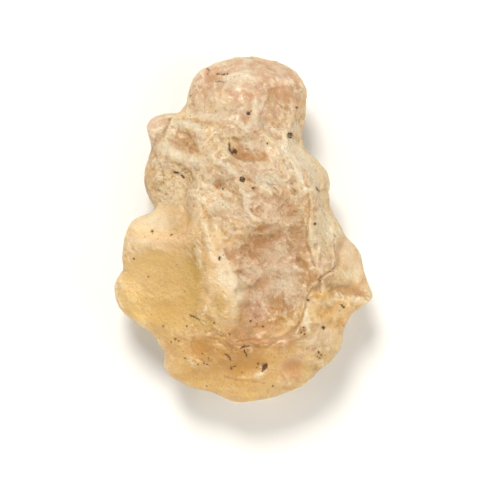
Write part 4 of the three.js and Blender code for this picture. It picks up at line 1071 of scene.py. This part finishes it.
def softened(values, mesh, rounds):
    # Each row moves halfway to the mean of its neighbours, again and again
    ends = np.empty(len(mesh.edges) * 2, dtype=np.int32)
    mesh.edges.foreach_get("vertices", ends)
    a, b = ends.reshape(-1, 2).T
    count = len(values)
    weight = np.bincount(a, minlength=count) + np.bincount(b, minlength=count)
    values = values.reshape(count, -1).copy()
    for _ in range(rounds):
        near = [np.bincount(a, v[b], count) + np.bincount(b, v[a], count) for v in values.T]
        values = 0.5 * values + 0.5 * (np.column_stack(near) / weight[:, None])
    return values


def reliefOf(mesh):
    # How far the surface lies in a small hollow, in mm; small crests are negative
    points = coordinates(mesh) / mm
    lower = softened(points, mesh, painting["broadRounds"]) - points
    depth = np.sum(lower * coordinates(mesh, "normal"), axis=1)
    return depth - softened(depth, mesh, painting["driftRounds"])[:, 0]


def covered(colour, tone, share):
    return colour * (1 - share[:, None]) + np.array(tones[tone]) * share[:, None]


def spotShare(plan, spot, reach):
    centre, half, turn, strength = spot
    return strength * bell(ellipse(plan, centre, half, turn) / reach)


def paintTones(mesh):
    points = coordinates(mesh) / mm
    plan = bentPlan(points, painting["zoneBend"])
    colour = covered(np.array(tones["cream"]), "honey", smooth(plan[:, 1], *painting["lowPart"]))
    for zone in zones.values():
        colour = covered(colour, zone["colour"], zoneShare(plan, zone) * zone["strength"])
    # Painted glow: the upright sides take the rim tone, as light comes through the thin edges
    glowLip = smooth(coordinates(mesh, "normal")[:, 2], *painting["glowLip"])
    colour = covered(colour, "rimGlow", glowLip * painting["glowLipShare"])

    plan = bentPlan(points, painting["patchBend"])
    pitted = np.zeros(len(plan))
    for zone in zones.values():
        pitted = np.maximum(pitted, zone.get("pitted", 0) * zoneShare(plan, zone))
    setAttribute(mesh, "pitted", pitted)
    # White on the crests and in the white patches: partly frost, partly painted highlight
    frostAndHighlight = np.zeros(len(plan))
    for path, halfWidth, height in crests:
        near = bell(alongPath(plan, path)[0] / (halfWidth * painting["crestReach"]))
        frostAndHighlight = np.maximum(frostAndHighlight, painting["crestFrost"] * height * near)
    for spot in patches["white"]:
        frostAndHighlight = np.maximum(frostAndHighlight, spotShare(plan, spot, painting["patchReach"]))
    setAttribute(mesh, "frostAndHighlight", frostAndHighlight)
    for tone, spots in patches.items():
        for spot in spots:
            colour = covered(colour, tone, spotShare(plan, spot, painting["patchReach"]))
    setAttribute(mesh, "tone", colour)

    stained = np.zeros(len(plan))
    for spot in stains:
        stained = np.maximum(stained, spotShare(plan, spot, painting["stainReach"]))
    upper = points[:, 2] > painting["marksAbove"]
    setAttribute(mesh, "stain", stained * upper)
    marks = bentPlan(points, painting["markBend"])
    farthest = carving["farthest"]
    setAttribute(mesh, "soil", np.where(upper, np.minimum(soilDistance(marks), farthest), farthest))
    setAttribute(mesh, "crease", lineDistance(marks, creases))
    setAttribute(mesh, "vein", lineDistance(marks, veins))
    setAttribute(mesh, "hollow", np.clip(reliefOf(mesh) / painting["deepHollow"], -1, 1))
    print("tones painted")


glass = {
    "ior": 1.46,
    "transmission": 0.77,
    "inside": (0.97, 0.84, 0.50),  # what the clear glass lets through
    "density": 35.0,
    "scatter": 0.4,
    "scatterDepth": 1.4 * mm,
    "scatterReach": (1.0, 0.7, 0.4),
    "roughness": 0.29,
    "frostRoughness": 0.4,
    "soilRoughness": 0.4,
    "coat": 0.12,
    "coatRoughness": 0.22,
    "frostSheen": 0.32,
    "grainScale": 2600.0,  # lumps of bump to the metre
    "grainDetail": 5.0,
    "grainRoughness": 0.62,
    "grainDepth": 0.54 * mm,
    "fleckGap": 0.7 * mm,
    "fleckLimit": 0.62,  # cells with a higher number have a fleck
    "seamGap": 0.6 * mm,
    "seamBend": 1.2,  # of the gap
}

# Linear colours of what lies over the painted tones
covers = {
    # milky: white of clouds, frost and dust, and on crests, patches and veins partly painted highlight
    "milky": (1.0, 0.96, 0.785),
    # hollow: the brown of painted shade in small hollows, and also of the brown streaks and the seams
    "hollow": (0.50, 0.27, 0.10),
    "pepper": (0.27, 0.13, 0.055),
    "stain": (0.56, 0.26, 0.07),
    # crease: brown of the creases, partly painted shade, and of the flecks and the halos round soil
    "crease": (0.38, 0.20, 0.08),
    "soil": (0.03, 0.012, 0.003),
}

# The flow that streaks are drawn out with: slanting, but level in the low part of the stone
flow = {
    "turns": (-35.0, 4.0),  # degrees, above and in the low part
    "lowPart": (-7 * mm, -12 * mm),
    "stretch": 1.7,
    "roughness": 0.7,
    "twist": 0.25,
}

# Layers of noise: the size of the lumps, the detail, and the noise from which to which it fades in
lumpRoughness = 0.6
layers = {
    "cloud": {"size": 2.6 * mm, "detail": 8.0, "fade": (0.46, 0.62)},
    "drift": {"size": 1.9 * mm, "detail": 4.0, "fade": (0.42, 0.58)},
    "hollowShade": {"size": 0.7 * mm, "detail": 6.0, "fade": (0.3, 0.6)},
    "stain": {"size": 0.6 * mm, "detail": 5.0, "fade": (0.25, 0.55)},
    "wander": {"size": 0.35 * mm, "detail": 4.0, "fade": (0.2, 0.8)},
    "mottle": {"size": 0.22 * mm, "detail": 3.0, "fade": (0.2, 0.8)},
    "pepper": {"size": 0.2 * mm, "detail": 4.0, "fade": (0.545, 0.585)},
    "dust": {"size": 0.2 * mm, "detail": 3.0, "fade": (0.54, 0.575)},
    "brown": {"size": 0.9 * mm, "detail": 9.0, "fade": (0.49, 0.62)},
    "wisps": {"size": 0.7 * mm, "detail": 9.0, "fade": (0.53, 0.62)},
    "flake": {"size": 0.36 * mm, "detail": 7.0, "fade": (0.46, 0.52)},
}

# Where else a layer fades in. In the first four, hollow is 1 and crest -1.
fades = {
    "hollowShade": (0.1, 1.0),
    "pepper": (-0.6, 0.6),
    "worn": (-0.1, -0.9),
    "dust": (0.5, -0.5),
    "grain": (-0.6, 1.0),  # calm skin is 0 and rough skin 1
    "seam": (0.08, 0.02),  # in cells from a seam
    "fleck": (0.16, 0.09),  # in cells from a fleck's middle
    "line": (0.24, 0.02),  # in mm past a mark's edge, as are the next two
    "halo": (0.15, 0.02),
    "soil": (0.05, -0.05),
}

# How much of each layer is laid over what is under it
shares = {
    "cloud": 0.4,
    "hollowShade": 0.55,
    "brown": 0.6,
    "brownCalm": 0.3,  # what is left of the brown streaks on calm skin
    "pepper": 0.6,
    "pepperLeast": 0.2,
    "drift": 0.8,
    "worn": 0.7,
    "wornPitted": 0.7,  # how much of the wear the pitted zones take away
    "patchSolid": 0.35,  # of a white patch, between its flakes
    "veinSolid": 0.25,
    "veinFlake": 0.6,
    "dust": 0.8,
    "seam": 0.45,
    "crease": 0.75,
    "wander": 0.26,  # mm, by which the edges of lines wander
    "fleck": 0.9,
    "mottle": 0.2,  # mm, by which the edges of soil wander
    "mottleMiddle": 0.4,
    "halo": 0.5,
    "soil": 0.97,
}


class GlassTree(Tree):
    # The shader tree of the glass, with calls for painted values and layers of noise
    def __init__(self, nodeTree):
        super().__init__(nodeTree)
        self.place = self.add("ShaderNodeTexCoord").outputs["Object"]
        back = self.add("ShaderNodeSeparateXYZ", {0: self.place}).outputs["Y"]
        self.lowPart = self.spread(back, *flow["lowPart"])
        self.tone = self.painted("tone", "Color")
        self.hollow = self.painted("hollow")
        self.coarse = self.painted("rough")
        self.pitted = self.painted("pitted")
        self.frostAndHighlight = self.painted("frostAndHighlight")
        self.drift = self.times(self.lumps("drift"), shares["drift"])
        self.flake = self.streaks("flake")

    def painted(self, name, output="Fac"):
        return self.add("ShaderNodeAttribute", attribute_name=name).outputs[output]

    def lumps(self, name):
        # A layer of even noise, from 0 to 1
        layer = layers[name]
        grain = self.add("ShaderNodeTexNoise", {
            "Vector": self.place, "Scale": 1 / layer["size"], "Detail": layer["detail"],
            "Roughness": lumpRoughness,
        })
        return self.spread(grain.outputs[0], *layer["fade"])

    def streaks(self, name):
        # A layer of noise drawn out with the flow, from 0 to 1
        layer = layers[name]
        runs = []
        for turn in flow["turns"]:
            drawn = self.add("ShaderNodeMapping", {
                "Vector": self.place, "Rotation": (0, 0, math.radians(turn)),
                "Scale": (flow["stretch"], 1, 1),
            }, vector_type="TEXTURE").outputs[0]
            grain = self.add("ShaderNodeTexNoise", {
                "Vector": drawn, "Scale": 1 / layer["size"], "Detail": layer["detail"],
                "Roughness": flow["roughness"], "Distortion": flow["twist"],
            })
            runs.append(grain.outputs[0])
        mixed = self.add("ShaderNodeMix", {0: self.lowPart, 2: runs[0], 3: runs[1]}).outputs[0]
        return self.spread(mixed, *layer["fade"])

    def fadeOf(self, name, value):
        return self.spread(value, *fades[name])

    def without(self, value):
        return self.minus(1, value)

    def cover(self, name, share, colour, over):
        # Lay a cover on the colour, by the share that goes with the layer's name
        return self.mix(self.times(share, shares[name]), colour, covers[over])


def bodyColour(t):
    # The painted tone, clouded, with painted shade browning the small hollows, browned in streaks, and
    # peppered with brown specks
    colour = t.cover("cloud", t.times(t.lumps("cloud"), t.coarse), t.tone, "milky")
    # Painted shade: brown laid in the small hollows
    hollowShade = t.times(t.fadeOf("hollowShade", t.hollow), t.lumps("hollowShade"))
    colour = t.cover("hollowShade", hollowShade, colour, "hollow")
    calm = shares["brownCalm"]
    grainy = t.plus(t.times(t.coarse, 1 - calm), calm)
    colour = t.cover("brown", t.times(t.streaks("brown"), grainy), colour, "hollow")
    low = t.times(t.coarse, t.fadeOf("pepper", t.hollow))
    low = t.larger(t.times(low, t.plus(t.drift, shares["pepperLeast"])), t.pitted)
    return t.cover("pepper", t.times(t.lumps("pepper"), low), colour, "pepper")


def wearAndHighlightOver(t, colour):
    # White wear on crests, in wisps and in frosted patches, on crests and patches partly a painted
    # highlight, then white dust and brown seams
    wisps = t.times(t.streaks("wisps"), t.coarse)
    # Painted highlight in part: the crests and white patches are whitened
    worn = t.larger(t.times(t.fadeOf("worn", t.hollow), t.flake), wisps)
    worn = t.times(worn, shares["worn"])
    worn = t.times(worn, t.without(t.times(t.pitted, shares["wornPitted"])))
    solid = shares["patchSolid"]
    patch = t.times(t.frostAndHighlight, t.plus(t.times(t.flake, 1 - solid), solid))
    worn = t.larger(worn, patch)
    colour = t.mix(worn, colour, covers["milky"])

    high = t.times(t.coarse, t.fadeOf("dust", t.hollow))
    high = t.times(high, t.without(t.drift))
    colour = t.cover("dust", t.times(t.lumps("dust"), high), colour, "milky")

    scale = 1 / glass["seamGap"]
    bent = t.bent(t.place, scale, glass["seamBend"] * glass["seamGap"])
    net = t.add("ShaderNodeTexVoronoi", {"Vector": bent, "Scale": scale}, feature="DISTANCE_TO_EDGE")
    seam = t.times(t.fadeOf("seam", net.outputs["Distance"]), t.frostAndHighlight)
    return t.cover("seam", seam, colour, "hollow"), worn


def marksOver(t, colour):
    # Brown creases, partly painted shade, white veins, partly painted highlight, loose brown flecks
    # and rusty stains
    wander = t.times(t.lumps("wander"), shares["wander"])
    # Painted shade in part: brown along the creases
    crease = t.fadeOf("line", t.plus(t.painted("crease"), wander))
    colour = t.cover("crease", crease, colour, "crease")
    # Painted highlight in part: white along the veins
    vein = t.fadeOf("line", t.plus(t.painted("vein"), wander))
    vein = t.times(vein, t.plus(t.times(t.flake, shares["veinFlake"]), shares["veinSolid"]))
    colour = t.mix(vein, colour, covers["milky"])

    inputs = {"Vector": t.place, "Scale": 1 / glass["fleckGap"]}
    cells = t.add("ShaderNodeTexVoronoi", inputs).outputs
    number = t.add("ShaderNodeSeparateColor", {0: cells["Color"]}).outputs[0]
    chosen = t.maths("GREATER_THAN", number, glass["fleckLimit"])
    fleck = t.times(t.fadeOf("fleck", cells["Distance"]), chosen)
    colour = t.cover("fleck", fleck, colour, "crease")
    stained = t.times(t.painted("stain"), t.lumps("stain"))
    return t.mix(stained, colour, covers["stain"]), vein


def soilOver(t, colour):
    # Dark soil in a brown halo
    mottle = t.minus(t.lumps("mottle"), shares["mottleMiddle"])
    edge = t.plus(t.painted("soil"), t.times(mottle, shares["mottle"]))
    colour = t.cover("halo", t.fadeOf("halo", edge), colour, "crease")
    soiled = t.times(t.fadeOf("soil", edge), shares["soil"])
    return t.mix(soiled, colour, covers["soil"]), soiled


def makeGlass():
    material = bpy.data.materials.new("desert glass")
    material.use_nodes = True
    material.node_tree.nodes.clear()
    t = GlassTree(material.node_tree)
    colour, worn = wearAndHighlightOver(t, bodyColour(t))
    colour, vein = marksOver(t, colour)
    colour, soiled = soilOver(t, colour)

    frosted = t.times(t.larger(worn, vein), glass["frostRoughness"])
    dull = t.plus(frosted, t.times(soiled, glass["soilRoughness"]))
    sheen = t.plus(glass["coat"], t.times(worn, glass["frostSheen"]))
    grain = t.add("ShaderNodeTexNoise", {
        "Vector": t.place, "Scale": glass["grainScale"],
        "Detail": glass["grainDetail"], "Roughness": glass["grainRoughness"],
    }).outputs[0]
    grain = t.times(grain, t.fadeOf("grain", t.coarse))
    bump = t.add("ShaderNodeBump", {"Height": grain, "Strength": 1.0, "Distance": glass["grainDepth"]})
    shader = t.add("ShaderNodeBsdfPrincipled", {
        "Base Color": colour, "Roughness": t.plus(glass["roughness"], dull),
        "Metallic": 0.0, "IOR": glass["ior"], "Transmission Weight": glass["transmission"],
        "Subsurface Weight": glass["scatter"], "Subsurface Scale": glass["scatterDepth"],
        "Subsurface Radius": glass["scatterReach"],
        "Coat Weight": t.times(sheen, t.without(soiled)), "Coat Roughness": glass["coatRoughness"],
        "Normal": bump.outputs[0],
    })
    shader.subsurface_method = "RANDOM_WALK"
    inside = t.add("ShaderNodeVolumeAbsorption", {
        "Color": (*glass["inside"], 1), "Density": glass["density"],
    })
    t.add("ShaderNodeOutputMaterial", {"Surface": shader.outputs[0], "Volume": inside.outputs[0]})
    print("glass mixed")
    return material


def makeStone():
    skin = wornForm(makeGlass())
    for reach in carving["refineReaches"]:
        refine(skin, reach)
    carveMarks(skin)
    paintTones(skin)
    stone = bpy.data.objects.new("desert_glass_skin", skin)
    bpy.context.scene.collection.objects.link(stone)
    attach(stone, "root")
    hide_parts("desert_glass")
    print("stone:", sum(len(p.vertices) - 2 for p in skin.polygons), "triangles")


# Plain pale table and soft light; sizes and places in metres
studio = {
    "floor": (0.38, 0.376, 0.37),
    "floorRoughness": 0.6,
    "floorSize": 3.0,
    "floorGap": 0.05 * mm,  # below the stone
    "world": (0.96, 0.95, 0.92),
    "worldStrength": 0.51,
}
lamps = {
    "key": {"at": (-0.085, 0.30, 0.34), "size": 0.19, "watts": 5.0, "colour": (1, 0.96, 0.90)},
    "right fill": {"at": (0.34, -0.05, 0.22), "size": 0.30, "watts": 2.0, "colour": (1, 0.95, 0.88)},
    "left fill": {"at": (-0.34, -0.02, 0.20), "size": 0.30, "watts": 0.8, "colour": (1, 0.97, 0.92)},
    "glow": {"at": (-0.04, -0.34, 0.14), "size": 0.20, "watts": 1.4, "colour": (1, 0.97, 0.90)},
}


def makeLamp(name, lamp):
    data = bpy.data.lights.new(name, "AREA")
    data.shape = "DISK"
    data.size = lamp["size"]
    data.energy = lamp["watts"]
    data.color = lamp["colour"]
    light = bpy.data.objects.new(name, data)
    light.location = lamp["at"]
    light.rotation_euler = (-Vector(lamp["at"])).to_track_quat("-Z", "Y").to_euler()
    bpy.context.scene.collection.objects.link(light)
    return light


def makeStudio():
    bpy.ops.mesh.primitive_plane_add(size=studio["floorSize"])
    floor = bpy.context.object
    floor.location.z = -studio["floorGap"]
    floor.name = "floor"
    material = bpy.data.materials.new("pale floor")
    material.use_nodes = True
    shader = material.node_tree.nodes["Principled BSDF"]
    shader.inputs["Base Color"].default_value = (*studio["floor"], 1)
    shader.inputs["Roughness"].default_value = studio["floorRoughness"]
    floor.data.materials.append(material)

    world = bpy.data.worlds.new("soft room")
    bpy.context.scene.world = world
    world.use_nodes = True
    background = world.node_tree.nodes["Background"]
    background.inputs["Color"].default_value = (*studio["world"], 1)
    background.inputs["Strength"].default_value = studio["worldStrength"]

    lights = {name: makeLamp(name, lamp) for name, lamp in lamps.items()}
    lights["glow"].visible_glossy = False
    lights["glow"].visible_transmission = False
    bpy.context.scene.view_settings.view_transform = "Standard"
    print("studio lit")


makeCamera()
makeStone()
makeStudio()
